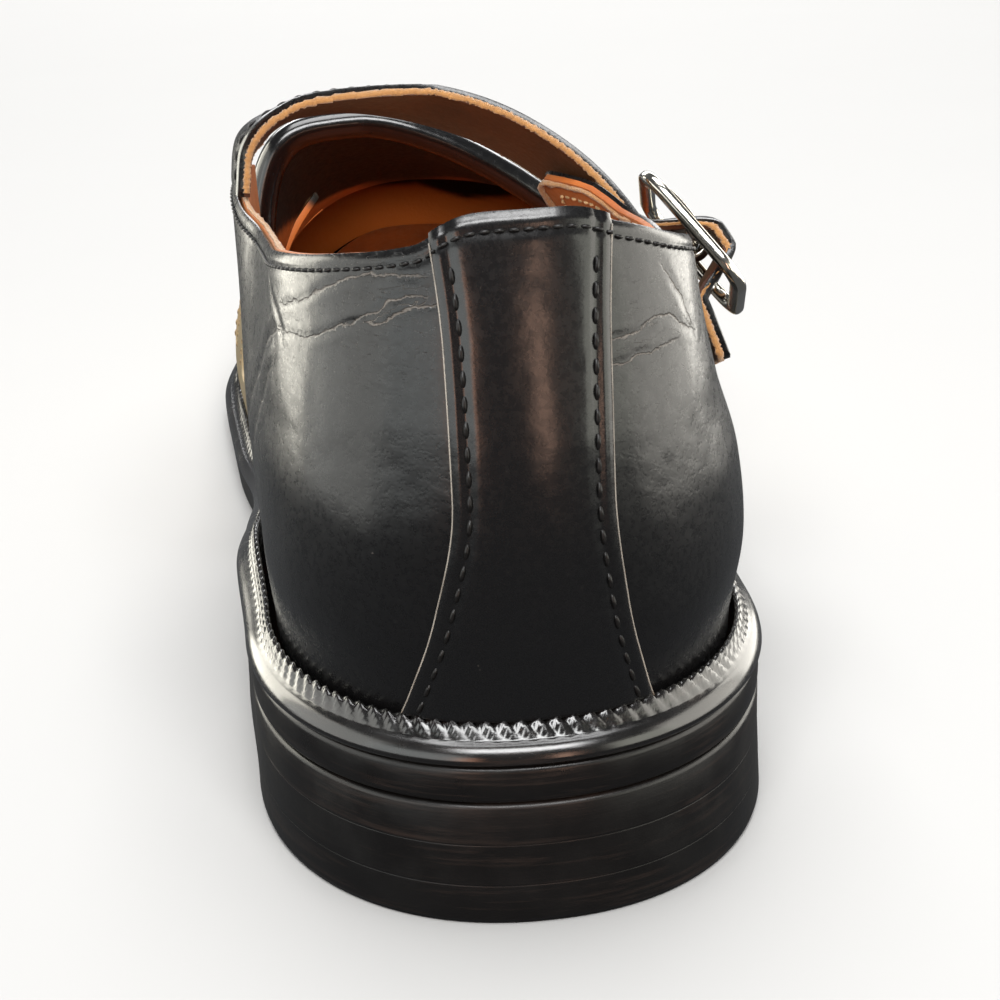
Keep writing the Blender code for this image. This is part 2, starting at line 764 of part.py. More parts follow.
def tube(path, radius, closed, sides=8):
    """Round bar along a path, as a mesh made from a bevelled curve."""
    curve = bpy.data.curves.new("bar", "CURVE")
    curve.dimensions = "3D"
    curve.bevel_depth = radius
    curve.bevel_resolution = sides // 4 - 1
    curve.use_fill_caps = True
    spline = curve.splines.new("POLY")
    spline.points.add(len(path) - 1)
    for point, spot in zip(spline.points, path):
        point.co = (*spot, 1)
    spline.use_cyclic_u = closed
    holder = bpy.data.objects.new("bar", curve)
    mesh = bpy.data.meshes.new_from_object(holder)
    bm = bmesh.new()
    bm.from_mesh(mesh)
    bpy.data.objects.remove(holder)
    bmesh.ops.remove_doubles(bm, verts=bm.verts, dist=1e-6)
    bmesh.ops.recalc_face_normals(bm, faces=bm.faces)
    return bm


def make_buckle(parts, cutters):
    """Frame with a bar across its middle, a prong, and the leather loop that holds the bar."""
    middle, length, down, across, out = buckle_axes()
    radius = BUCKLE_BAR / 2
    half_long, half_wide, corner = length / 2, BUCKLE_WIDE / 2 - radius, 0.0042

    def spot(along_strap, sideways, rise=0.0):
        return middle + down * along_strap + across * sideways + out * rise

    path = []
    signs = [(1, 1), (-1, 1), (-1, -1), (1, -1)]
    for quarter, (sx, sy) in enumerate(signs):
        for step in range(5):
            turn = (quarter + step / 4) * math.pi / 2
            path.append(spot(
                sx * (half_long - corner) + corner * math.cos(turn),
                sy * (half_wide - corner) + corner * math.sin(turn),
            ))
    frame = new_object("buckle_frame", tube(path, radius, True), parts, "nickel")
    bar = tube([spot(0, -half_wide), spot(0, half_wide)], radius * 0.9, False)
    bar = new_object("buckle_middle_bar", bar, cutters, None)
    bar.hide_render = True
    bar.display_type = "WIRE"
    joined = frame.modifiers.new("middle bar", "BOOLEAN")
    joined.operation = "UNION"
    joined.object = bar

    thick = 0.0009
    lift = radius + GAP + thick
    prong = [spot(0.0, 0, lift), spot(-half_long * 0.5, 0, lift + 0.0004), spot(-half_long - 0.002, 0, lift)]
    new_object("buckle_prong", tube(prong, thick, False), parts, "nickel")

    share = CHAPE_HALF / STRAP_HALF
    orders = [BAR_AT - 0.012 + i * 0.02 for i in range(9)]
    loop = strap_sheet(
        orders, [-share, 0, share], lambda order: 0.0004 - along(INSTEP_STRAP, "rise", order),
        lambda order, edge: True,
    )
    solidify(new_object("buckle_chape", loop, parts, "black leather"), CHAPE_THICK, 1, even=False)


main()
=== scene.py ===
"""Finishes a right-foot fisherman sandal: leathers, seams, creases, buckle and sole edge, a stage and light.

The frame gives the solids. The tables repeat the sizes of the last in metres, in the heel's own axes, so that
each piece lies on the same surface as the solid that it stands for.
"""

import math
from collections import namedtuple
from functools import lru_cache, partial

import bmesh
import bpy
import numpy as np
from mathutils import Matrix, Vector


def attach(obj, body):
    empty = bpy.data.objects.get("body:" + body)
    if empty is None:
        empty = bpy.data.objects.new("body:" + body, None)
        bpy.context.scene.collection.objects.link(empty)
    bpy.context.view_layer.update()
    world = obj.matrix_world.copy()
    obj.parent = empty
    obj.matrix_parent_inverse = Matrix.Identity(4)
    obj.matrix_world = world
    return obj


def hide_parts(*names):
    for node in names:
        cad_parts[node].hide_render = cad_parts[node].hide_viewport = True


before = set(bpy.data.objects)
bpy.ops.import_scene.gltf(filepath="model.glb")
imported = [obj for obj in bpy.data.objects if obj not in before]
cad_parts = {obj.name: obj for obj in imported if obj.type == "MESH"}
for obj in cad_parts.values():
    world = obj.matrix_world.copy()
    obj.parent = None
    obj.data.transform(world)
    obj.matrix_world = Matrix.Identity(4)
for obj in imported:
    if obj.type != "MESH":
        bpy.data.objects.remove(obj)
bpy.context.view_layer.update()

bl_info = {
    "name": "Fisherman Sandal",
    "version": (1, 0, 0),
    "blender": (4, 5, 0),
    "location": "View3D > Sidebar > Sandal",
    "description": "Leathers, seams, creases, buckle and sole edge of a buckled sandal",
    "category": "Object",
}

# Sole, measured at the welt's edge
SOLE_LENGTH = 0.302
HEEL_ROUND = 0.046
TOE_START = 0.212
HEEL_POWER = 2.15
TOE_POWER = 2.25
TOE_SHIFT = 0.0085
HEEL_TURN = math.radians(3.5)
GAP = 0.0003
OUTSOLE = 0.0052
WELT = 0.0030
LEDGE = 0.0048
HEEL_BREAST = 0.078
INSOLE = 0.0030
INSOLE_PLAY = 0.0014

# Upper
WALL = 0.0022
BAND = 0.0095
SKIRT = 0.0034
OVERLAY = 0.0012
WALL_TOP = 0.1000
DOME_FROM = 0.058
DOME_FULL = 0.104
TOE_RIDGE = 0.258
CREST_LEAN = 0.003
THROAT = 0.131
THROAT_ROLL = 0.0036
# Dark part of the vamp's lining by the throat: partly a black facing, partly painted shade under the roof
FACING_AND_SHADE_EDGE = 0.0595    # height of the edge of the dark facing and painted shade inside the vamp
FACING_AND_SHADE_END = 0.184      # from here on the edge drops towards the toes
FACING_AND_SHADE_DROP = 0.243
FACING_AND_SHADE_TURN = 0.0127    # and beyond this it drops towards the outer side
FACING_AND_SHADE_SIDE = 0.42
FACING_AND_SHADE_BLUR = 0.0010

# Instep strap and buckle
STRAP_THICK = 0.0022
STRAP_HALF = 0.0090
STRAP_FLARE = 0.38      # share that its front half gains over the inner side of the instep
FLARE_AT = 0.20
FLARE_LONG = 0.12
PRONG_HOLE = 0.0018
BUCKLE_WIDE = 0.0256
BUCKLE_BAR = 0.0024
BUCKLE_CLEAR = 0.0036
CHAPE_HALF = 0.0062
HALF_GIRTH = 0.092
SEAM_GAP = 0.012
SEAM_END = 0.18
BUCKLE_TOP = 0.70
BAR_AT = 0.80
BUCKLE_LOW = 0.895

SideRow = namedtuple("SideRow", "y medial lateral")
HeightRow = namedtuple("HeightRow", "y z")
CrestRow = namedtuple("CrestRow", "y x z")
SectionRow = namedtuple(
    "SectionRow", "y swell_medial swell_lateral lean_medial lean_lateral square_medial square_lateral"
)
WallRow = namedtuple("WallRow", "y back medial lateral")
StrapRow = namedtuple("StrapRow", "y girth place rise lift half")
Crease = namedtuple("Crease", "name depth width route")
Stop = namedtuple("Stop", "w step")
Level = namedtuple("Level", "inset rise")
WeltRow = namedtuple("WeltRow", "inset rise notched")
Card = namedtuple("Card", "name place aim wide high power tint near")

SOLE_EDGE = [
    SideRow(0.046, 0.0377, 0.0377),
    SideRow(0.075, 0.0384, 0.0386),
    SideRow(0.105, 0.0366, 0.0428),
    SideRow(0.140, 0.0350, 0.0510),
    SideRow(0.175, 0.0380, 0.0604),
    SideRow(0.212, 0.0394, 0.0658),
]
UNDERSIDE = [
    HeightRow(0.000, 0.0181),
    HeightRow(0.070, 0.0178),
    HeightRow(0.105, 0.0115),
    HeightRow(0.140, 0.0032),
    HeightRow(0.168, 0.0),
    HeightRow(0.226, 0.0),
    HeightRow(0.262, 0.0034),
    HeightRow(0.302, 0.0125),
    HeightRow(0.330, 0.0205),
]
CREST = [
    CrestRow(0.050, -0.0140, 0.1040),
    CrestRow(0.080, -0.0160, 0.0958),
    CrestRow(0.105, -0.0160, 0.0883),
    CrestRow(0.130, -0.0115, 0.0825),
    CrestRow(0.160, -0.0040, 0.0700),
    CrestRow(0.195, 0.0020, 0.0575),
    CrestRow(0.230, 0.0050, 0.0500),
    CrestRow(0.262, 0.0062, 0.0460),
]
SECTIONS = [
    SectionRow(0.050, 0.0010, 0.0050, 0.0, 0.0, 5.5, 2.0),
    SectionRow(0.095, -0.0042, 0.0085, 0.0100, 0.0050, 3.4, 1.50),
    SectionRow(0.130, -0.0020, 0.0050, 0.0052, 0.0020, 3.2, 1.55),
    SectionRow(0.170, 0.0, 0.0034, 0.0, 0.0, 2.3, 1.85),
    SectionRow(0.210, 0.0008, 0.0026, 0.0, 0.0, 2.2, 2.1),
    SectionRow(0.250, 0.0018, 0.0022, 0.0, 0.0, 2.3, 2.3),
    SectionRow(0.302, 0.0022, 0.0022, 0.0, 0.0, 2.4, 2.4),
]
HEEL_WALL = [
    WallRow(0.00, 0.0, 0.0, 0.0),
    WallRow(0.20, -0.0021, -0.0010, -0.0020),
    WallRow(0.36, -0.0027, -0.0010, -0.0008),
    WallRow(0.52, -0.0020, 0.0006, 0.0024),
    WallRow(0.70, 0.0000, 0.0024, 0.0050),
    WallRow(0.88, 0.0030, 0.0034, 0.0062),
    WallRow(1.00, 0.0052, 0.0040, 0.0068),
]

# Top edge of the quarters, then down their front edges to the low band under the vamp
TOPLINE = [
    SideRow(0.000, 0.0945, 0.0945),
    SideRow(0.004, 0.0908, 0.0920),
    SideRow(0.014, 0.0885, 0.0880),
    SideRow(0.030, 0.0856, 0.0840),
    SideRow(0.057, 0.0812, 0.0782),
    SideRow(0.070, 0.0796, 0.0784),
    SideRow(0.080, 0.0796, 0.0812),
    SideRow(0.088, 0.0800, 0.0812),
    SideRow(0.098, 0.0808, 0.0720),
    SideRow(0.110, 0.0806, 0.0545),
    SideRow(0.119, 0.0600, 0.0430),
    SideRow(0.125, 0.0370, 0.0360),
    SideRow(0.131, 0.0275, 0.0275),
    SideRow(0.139, 0.0222, 0.0222),
]
BACK_STRIP = [
    SideRow(0.020, 0.0195, 0.0168),
    SideRow(0.032, 0.0162, 0.0140),
    SideRow(0.044, 0.0128, 0.0113),
    SideRow(0.060, 0.0100, 0.0097),
    SideRow(0.078, 0.0099, 0.0100),
    SideRow(0.105, 0.0114, 0.0118),
]
SLOTS = [(0.157, 0.165), (0.182, 0.190), (0.207, 0.2145)]
INSTEP_STRAP = [
    StrapRow(0.000, -0.480, 0.0970, -0.0022, 0.0, 0.0115),
    StrapRow(0.180, -0.300, 0.0990, -0.0016, 0.0, 0.0115),
    StrapRow(0.360, 0.000, 0.1000, -0.0006, 0.0018, 0.0115),
    StrapRow(0.500, 0.180, 0.0960, 0.0005, 0.0017, 0.0108),
    StrapRow(0.620, 0.325, 0.0905, 0.0006, 0.0003, 0.0098),
    StrapRow(0.715, 0.440, 0.0855, 0.0006, 0.0, 0.0092),
    StrapRow(0.785, 0.513, 0.0823, 0.0110, 0.0, 0.0090),
    StrapRow(0.815, 0.545, 0.0808, 0.0112, 0.0, 0.0090),
    StrapRow(0.880, 0.605, 0.0778, 0.0036, 0.0, 0.0090),
    StrapRow(0.940, 0.645, 0.0755, 0.0036, 0.0, 0.0088),
    StrapRow(1.000, 0.690, 0.0730, 0.0040, 0.0, 0.0080),
]

# Creases of the quarters. A route's places are a column round the heel and a height.
CREASES = [
    Crease("upper line of the inner side", 0.00034, 0.0006, [
        (-0.70, 0.0792), (-0.59, 0.0812), (-0.50, 0.0836), (-0.42, 0.0856), (-0.33, 0.0871), (-0.22, 0.0872),
    ]),
    Crease("lower line of the inner side", 0.00038, 0.0006, [
        (-0.72, 0.0757), (-0.55, 0.0770), (-0.45, 0.0790), (-0.39, 0.0806), (-0.31, 0.0812), (-0.23, 0.0834),
        (-0.16, 0.0842),
    ]),
    Crease("branch between them", 0.00030, 0.0006, [
        (-0.40, 0.0803), (-0.32, 0.0825), (-0.28, 0.0843), (-0.21, 0.0848),
    ]),
    Crease("across their ends", 0.00032, 0.0007, [
        (-0.88, 0.0800), (-0.85, 0.0792), (-0.74, 0.0774), (-0.69, 0.0752),
    ]),
    Crease("fold of the inner side", 0.00075, 0.0013, [
        (-0.71, 0.0757), (-0.93, 0.0697), (-1.04, 0.0616), (-1.09, 0.0535),
    ]),
    Crease("beside that fold", 0.00055, 0.0013, [
        (-0.74, 0.0722), (-0.86, 0.0650), (-1.00, 0.0580), (-1.05, 0.0500),
    ]),
    Crease("first line of the outer side", 0.00034, 0.0006, [(0.14, 0.0786), (0.23, 0.0782), (0.29, 0.0784)]),
    Crease("its bent end", 0.00032, 0.0007, [
        (0.26, 0.0786), (0.31, 0.0792), (0.35, 0.0788), (0.40, 0.0770), (0.47, 0.0750),
    ]),
    Crease("lower line of the outer side", 0.00036, 0.0006, [
        (0.14, 0.0750), (0.21, 0.0751), (0.24, 0.0756), (0.29, 0.0753), (0.37, 0.0755),
    ]),
    Crease("down the outer side", 0.00030, 0.0008, [
        (0.37, 0.0845), (0.40, 0.0820), (0.43, 0.0798), (0.47, 0.0745),
    ]),
]

# Columns where the quarters' mesh changes its step, as a share of the step that creases need
INNER_STOPS = [Stop(0.0, 2.2), Stop(0.14, 1.0), Stop(1.00, 2.2), Stop(1.349, 1.0)]
OUTER_STOPS = [Stop(0.0, 2.2), Stop(0.12, 1.0), Stop(0.52, 2.2), Stop(1.349, 1.0)]

STRIP_OUT = GAP + OVERLAY   # outer face of the overlays above the last
BAND_ROW, SPINE_ROW, TOP_ROW = 2, 7, 10
NUDGE = 0.0005
SWELL_SCALE = 27 / 4    # so that a swell is the most that a section gains
BISECTIONS = 22

# Meshes and stitches
SMALL_ROUND = 0.0002    # rounding of a lining's cut edge
CORNER = math.radians(55)
MERGE = 2e-6
SLIVER = 1e-6
STITCH_SHARE = 0.74     # of the pitch that the thread shows
STITCH_RISE = 1.5       # of the arch, in thread radii
STITCH_DIP = 0.9        # of the ends under the leather, in thread radii
STITCH_END = 0.55       # of the thickness at the ends
STITCH_WIDE = 1.15      # of the width, in thread radii


def linear(code, alpha=True):
    """Linear colour of an sRGB hex value."""
    parts = [int(code[i:i + 2], 16) / 255 for i in (1, 3, 5)]
    parts = [c / 12.92 if c <= 0.04045 else ((c + 0.055) / 1.055) ** 2.4 for c in parts]
    return (*parts, 1.0) if alpha else tuple(parts)


# Sizes and colours that a user would change

def length(name, description, default):
    return bpy.props.FloatProperty(name=name, description=description, default=default, min=0.0,
                                   unit="LENGTH", precision=5)


def colour(name, description, code):
    return bpy.props.FloatVectorProperty(name=name, description=description, default=linear(code), size=4,
                                         min=0.0, max=1.0, subtype="COLOR")


class SandalSizes(bpy.types.PropertyGroup):
    """Sizes of the seams and of the small relief."""
    mesh_step: length("Mesh step", "Length of a face along the leather", 0.0011)
    crease_step: length("Crease step", "Length of a face where the heel's leather creases", 0.0005)
    leather: length("Leather", "Thickness of the outer leather", 0.0012)
    edge_round: length("Edge round", "Rounding of a cut leather edge", 0.00032)
    stitch_pitch: length("Stitch pitch", "From one stitch of the back strip to the next", 0.0030)
    top_pitch: length("Top stitch pitch", "From one stitch of the top edge to the next", 0.0018)
    fine_pitch: length("Fine stitch pitch", "From one stitch of the vamp to the next", 0.0023)
    thread: length("Thread", "Radius of the thread", 0.00026)
    seam_inset: length("Seam inset", "From an edge to its stitches", 0.0020)
    bead: length("Bead", "Rounding of the turned top edge", 0.0006)
    notch_pitch: length("Notch pitch", "From one notch of the welt's ridge to the next", 0.0025)
    notch_depth: length("Notch depth", "Depth of those notches", 0.0011)
    crease_scale: bpy.props.FloatProperty(
        name="Crease depth", description="Scale of all creases", default=0.36, min=0.0, max=2.0,
        subtype="FACTOR",
    )


class SandalColours(bpy.types.PropertyGroup):
    """Colours of the leathers, thread, metal and floor."""
    black: colour("Black calf", "Polished outer leather", "#070708")
    cream: colour("Cream calf", "Leather of the vamp", "#C2B08A")
    lining: colour("Lining", "Bare leather inside the quarters", "#A0561F")
    raw: colour("Raw edge", "Torn fibres of a cut lining", "#A87A45")
    insole: colour("Insole", "Leather under the foot", "#B4531E")
    # Tan lining leather painted dark brown as shade under the strap
    strap_lining: colour("Strap lining", "Bare leather under the instep strap", "#40200D")
    # Dark partly as a black facing, partly as painted shade under the vamp's roof
    shade_lining: colour("Vamp lining", "Leather inside the vamp, by the throat", "#0E0907")
    toe_lining: colour("Toe lining", "Leather inside the vamp, over the toes", "#AC5C26")
    edge_ink: colour("Edge ink", "Waxed ink on the sole's edge", "#080707")
    thread: colour("Thread", "Waxed black thread", "#0C0B0B")
    pale_thread: colour("Pale thread", "Waxed thread on the lining and vamp", "#C9AE86")
    nickel: colour("Nickel", "Plate of the buckle", "#D6D2C8")
    floor: colour("Floor", "Floor of the stage", "#C9C8C6")


def sizes():
    return bpy.context.scene.sandal_sizes


def colours():
    return bpy.context.scene.sandal_colours


# Tables and curves, for arrays

def along(rows, column, y):
    """Values of a table's column at y, smooth and never past their neighbours."""
    ys = np.array([row.y for row in rows])
    vs = np.array([getattr(row, column) for row in rows])
    y = np.clip(np.asarray(y, float), ys[0], ys[-1])
    rise = np.diff(vs) / np.diff(ys)
    slope = np.zeros(len(ys))
    same = rise[:-1] * rise[1:] > 0
    total = np.where(same, rise[:-1] + rise[1:], 1.0)
    slope[1:-1] = np.where(same, 2 * rise[:-1] * rise[1:] / total, 0.0)
    i = np.clip(np.searchsorted(ys, y, side="right") - 1, 0, len(ys) - 2)
    span = ys[i + 1] - ys[i]
    t = (y - ys[i]) / span
    return (
        vs[i] * (1 + 2 * t) * (1 - t) ** 2
        + vs[i + 1] * t * t * (3 - 2 * t)
        + span * slope[i] * t * (1 - t) ** 2
        - span * slope[i + 1] * t * t * (1 - t)
    )


def sided(rows, y, w, prefix=""):
    """Values of a table's medial or lateral column, by the side that the columns w are on."""
    return np.where(w < 0, along(rows, prefix + "medial", y), along(rows, prefix + "lateral", y))


def round_reach(across, lengthways, power):
    return (np.abs(across) ** power + np.abs(lengthways) ** power) ** (-1 / power)


def smoothstep(low, high, value):
    t = np.clip((value - low) / (high - low), 0.0, 1.0)
    return t * t * (3 - 2 * t)


def bell(distance, width):
    return np.exp(-(distance / width) ** 2)


def unit(vectors):
    return vectors / np.maximum(np.linalg.norm(vectors, axis=-1, keepdims=True), 1e-12)


# Outline of the sole and surface of the last. A column w runs from -3 to 3: 0 is the middle of the heel's
# back, 1 the end of the heel's round, 2 the start of the toe's round and 3 the toe's tip. The inner side is
# negative.

def rim(w):
    """Points of the welt's edge, from above."""
    w = np.asarray(w, float)
    part, side = np.abs(w), np.where(w < 0, -1.0, 1.0)
    turn = np.minimum(part, 1) * math.pi / 2
    half = sided(SOLE_EDGE, HEEL_ROUND, w)
    reach = round_reach(np.sin(turn) / half, np.cos(turn) / HEEL_ROUND, HEEL_POWER)
    heel = side * reach * np.sin(turn), HEEL_ROUND - reach * np.cos(turn)
    y = HEEL_ROUND + (np.clip(part, 1, 2) - 1) * (TOE_START - HEEL_ROUND)
    middle = side * sided(SOLE_EDGE, y, w), y
    turn = np.maximum(part - 2, 0) * math.pi / 2
    half = sided(SOLE_EDGE, TOE_START, w)
    reach = round_reach(np.cos(turn) / half, np.sin(turn) / (SOLE_LENGTH - TOE_START), TOE_POWER)
    toe = side * reach * np.cos(turn) + TOE_SHIFT * np.sin(turn) ** 2, TOE_START + reach * np.sin(turn)
    pick = [part <= 1, part <= 2]
    return np.select(pick, [heel[0], middle[0]], toe[0]), np.select(pick, [heel[1], middle[1]], toe[1])


def inward(w):
    """Unit directions from the welt's edge into the sole."""
    (xa, ya), (xb, yb) = rim(w - NUDGE), rim(w + NUDGE)
    size = np.hypot(xb - xa, yb - ya)
    return -(yb - ya) / size, (xb - xa) / size


def inset(w, distance):
    (x, y), (nx, ny) = rim(w), inward(w)
    return x + nx * distance, y + ny * distance


def column_at(y, side=1):
    """Columns whose welt edge lies y along the foot, on the straight stretch of the side."""
    return side * (1 + (np.asarray(y) - HEEL_ROUND) / (TOE_START - HEEL_ROUND))


def underside(y):
    return along(UNDERSIDE, "z", y)


def welt_foot(y):
    return underside(y) + OUTSOLE + GAP


def feather_height(y):
    return welt_foot(y) + WELT + GAP


def last_point(w, s):
    """Outer surface of the upper: s runs from 0 at the sole to 1 at the crest."""
    w, s = np.broadcast_arrays(np.asarray(w, float), np.asarray(s, float))
    (x, y), (nx, ny) = inset(w, LEDGE), inward(w)
    z = feather_height(y)
    edge_y = rim(w)[1]
    part = np.abs(w)

    sideways = np.sin(np.minimum(part, 1.0) * math.pi / 2) ** 2
    lean = sided(HEEL_WALL, s, w) * sideways + along(HEEL_WALL, "back", s) * (1 - sideways)
    wall = np.stack([x + nx * lean, y + ny * lean, z + s * (WALL_TOP - z)], -1)

    crest_y = edge_y + CREST_LEAN * smoothstep(DOME_FROM, THROAT, edge_y)
    toe_y = TOE_START + CREST_LEAN
    toe_y = toe_y + (TOE_RIDGE - toe_y) * np.sin(np.maximum(part - 2, 0) * math.pi / 2)
    crest_y = np.where(part > 2, toe_y, crest_y)
    crest_x, crest_z = along(CREST, "x", crest_y), along(CREST, "z", crest_y)
    turn = s * math.pi / 2
    reach = round_reach(np.cos(turn), np.sin(turn), sided(SECTIONS, edge_y, w, "square_"))
    over, up = 1 - reach * np.cos(turn), reach * np.sin(turn)
    swell = sided(SECTIONS, edge_y, w, "swell_") * (1 - s) + sided(SECTIONS, edge_y, w, "lean_") * s
    swell = swell * SWELL_SCALE * s * (1 - s)
    dome = np.stack([
        x + (crest_x - x) * over - nx * swell,
        y + (crest_y - y) * over - ny * swell,
        z + (crest_z - z) * up,
    ], -1)
    share = smoothstep(DOME_FROM, DOME_FULL, edge_y)[..., None]
    return wall + (dome - wall) * share


def outward(w, s):
    """Unit directions out of the last."""
    w, s = np.broadcast_arrays(np.asarray(w, float), np.asarray(s, float))
    step = NUDGE * 4
    crest = s > 1 - step
    w = np.where(crest, np.abs(w), w)
    s = np.where(crest, 1.0, s)
    high = np.where(crest[..., None], last_point(-w, 1 - step), last_point(w, np.minimum(s + step, 1.0)))
    low = np.where(crest[..., None], last_point(w, 1 - step), last_point(w, np.maximum(s - step, 0.0)))
    return unit(np.cross(last_point(w + step, s) - last_point(w - step, s), high - low))


def laid(w, s, out=0.0):
    """Points at a distance out of the last, and the outward directions there."""
    outs = outward(w, s)
    return last_point(w, s) + outs * np.asarray(out)[..., None], outs


def bisect(shape, below):
    """Values from 0 to 1 at which a test that is true below them turns false."""
    low, high = np.zeros(shape), np.ones(shape)
    for _ in range(BISECTIONS):
        middle = (low + high) / 2
        under = below(middle)
        low, high = np.where(under, middle, low), np.where(under, high, middle)
    return (low + high) / 2


def share_at(w, z):
    """Shares s at which columns w of the last reach heights z."""
    w, z = np.broadcast_arrays(np.asarray(w, float), np.asarray(z, float))
    return bisect(w.shape, lambda s: last_point(w, s)[..., 2] < z)


def placing():
    """Turn from the heel's middle line to the sole's, and the middle of the sole's box."""
    turn = np.array(Matrix.Rotation(HEEL_TURN, 3, "Z"))
    x, y = rim(np.linspace(-3, 3, 601))
    edge = np.stack([x, y, np.zeros_like(x)], -1) @ turn.T
    middle = (edge.min(0) + edge.max(0)) / 2
    return turn, middle


PLACING = placing()


def placed(points):
    """Points of the heel's axes in the part's axes."""
    return np.asarray(points, float).reshape(-1, 3) @ PLACING[0].T - PLACING[1]


# Meshes

def grid_faces(rows, columns, keep=None):
    index = np.arange(rows * columns).reshape(rows, columns)
    faces = np.stack([index[:-1, :-1], index[:-1, 1:], index[1:, 1:], index[1:, :-1]], -1)
    return [tuple(f) for f in (faces if keep is None else faces[keep]).reshape(-1, 4).tolist()]


def tube_faces(count, ring, closed):
    """Faces of a bar from its rings of points, with end faces where it doesn't close on itself."""
    faces = []
    for i in range(count if closed else count - 1):
        a, b = i * ring, (i + 1) % count * ring
        faces += [(a + j, a + (j + 1) % ring, b + (j + 1) % ring, b + j) for j in range(ring)]
    if not closed:
        faces += [tuple(range(ring))[::-1], tuple((count - 1) * ring + j for j in range(ring))]
    return faces


def sweep(centres, sides, outs, section, closed=False):
    """Bar along a path. The section's places are along sides and outs, and may change along the path."""
    sides, outs = np.broadcast_to(sides, centres.shape), np.broadcast_to(outs, centres.shape)
    section = np.broadcast_to(section, (len(centres), *np.shape(section)[-2:]))
    points = centres[:, None] + sides[:, None] * section[..., :1] + outs[:, None] * section[..., 1:]
    return points.reshape(-1, 3), tube_faces(*points.shape[:2], closed)


def join(parts):
    """One list of points and faces from several."""
    points, faces, start = [], [], 0
    for spots, cells in parts:
        points.append(spots)
        faces += [tuple(start + i for i in cell) for cell in cells]
        start += len(spots)
    return np.concatenate(points), faces


def oval(wide, high, count):
    turn = np.arange(count) / count * 2 * math.pi
    return np.stack([wide * np.cos(turn), high * np.sin(turn)], -1)


def piece(name, points, faces, material, slot, nodes=(), shell=0.0, rounding=None, masks=None, merge=False):
    """Object from points in the heel's axes. It rides on the body, and stands for the nodes that it names."""
    mesh = bpy.data.meshes.new(name)
    mesh.from_pydata(placed(points).tolist(), [], faces)
    for mask, values in (masks or {}).items():
        layer = mesh.attributes.new(mask, "FLOAT", "POINT")
        layer.data.foreach_set("value", np.asarray(values, np.float32).ravel())
    bm = bmesh.new()
    bm.from_mesh(mesh)
    if merge:
        bmesh.ops.remove_doubles(bm, verts=bm.verts, dist=MERGE)
        bmesh.ops.dissolve_degenerate(bm, edges=bm.edges, dist=SLIVER)
    if not shell:
        bmesh.ops.recalc_face_normals(bm, faces=bm.faces)
    bm.to_mesh(mesh)
    bm.free()
    mesh.shade_smooth()
    mesh.materials.append(material)
    obj = bpy.data.objects.new(name, mesh)
    bpy.context.scene.collection.objects.link(obj)
    if shell:
        wall = obj.modifiers.new("thickness", "SOLIDIFY")
        wall.thickness = shell
        wall.offset = -1
        wall.use_even_offset = False
        wall.use_quality_normals = True
    if rounding:
        edge = obj.modifiers.new("edge", "BEVEL")
        edge.width = rounding
        edge.segments = 2
        edge.limit_method = "ANGLE"
        edge.angle_limit = CORNER
    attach(obj, "root")
    if nodes:
        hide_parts(*nodes)
    return obj


def stitches(points, outs, pitch, radius, sink=0.0):
    """Row of stitches along a seam: short arched threads that dip into the leather at both ends."""
    steps = np.linalg.norm(np.diff(points, axis=0), axis=1)
    place = np.concatenate([[0], np.cumsum(steps)])
    count = max(int(place[-1] / pitch), 1)
    pitch = place[-1] / count
    t = np.linspace(0, 1, 7)
    arch = np.sin(t * math.pi) ** 0.6
    section = oval(radius * STITCH_WIDE, radius, 6) * (STITCH_END + (1 - STITCH_END) * arch)[:, None, None]
    rise = radius * (STITCH_RISE * arch - STITCH_DIP) - sink
    rows = []
    for k in range(count):
        at = (k + 0.5 + (t - 0.5) * STITCH_SHARE) * pitch
        centres, out = (
            np.stack([np.interp(at, place, axis) for axis in values.T], -1) for values in (points, outs)
        )
        out = unit(out)
        centres = centres + out * rise[:, None]
        rows.append(sweep(centres, unit(np.cross(np.gradient(centres, axis=0), out)), out, section))
    return join(rows)


# Materials

def add(tree, kind, out, inputs, **settings):
    """Output of a new node of a kind, with its settings, and with its inputs set or linked."""
    made = tree.nodes.new("ShaderNode" + kind)
    for name, value in settings.items():
        setattr(made, name, value)
    for key, value in inputs.items():
        if isinstance(value, bpy.types.NodeSocket):
            tree.links.new(value, made.inputs[key])
        else:
            made.inputs[key].default_value = value
    return made.outputs[out]


def per_metre(millimetres):
    """Pattern scale from the size of one mark."""
    return 1000 / millimetres


def start(name, **constants):
    """New material with its shader's constants, what adds a node to it, and the place on the object."""
    made = bpy.data.materials.new(name)
    made.use_nodes = True
    shader = made.node_tree.nodes["Principled BSDF"]
    for key, value in constants.items():
        shader.inputs[key.replace("_", " ")].default_value = value
    node = partial(add, made.node_tree)
    return made, node, node("TexCoord", "Object", {})


def wired(made, **inputs):
    """The material, with outputs linked to its shader."""
    tree = made.node_tree
    for key, value in inputs.items():
        tree.links.new(value, tree.nodes["Principled BSDF"].inputs[key.replace("_", " ")])
    return made


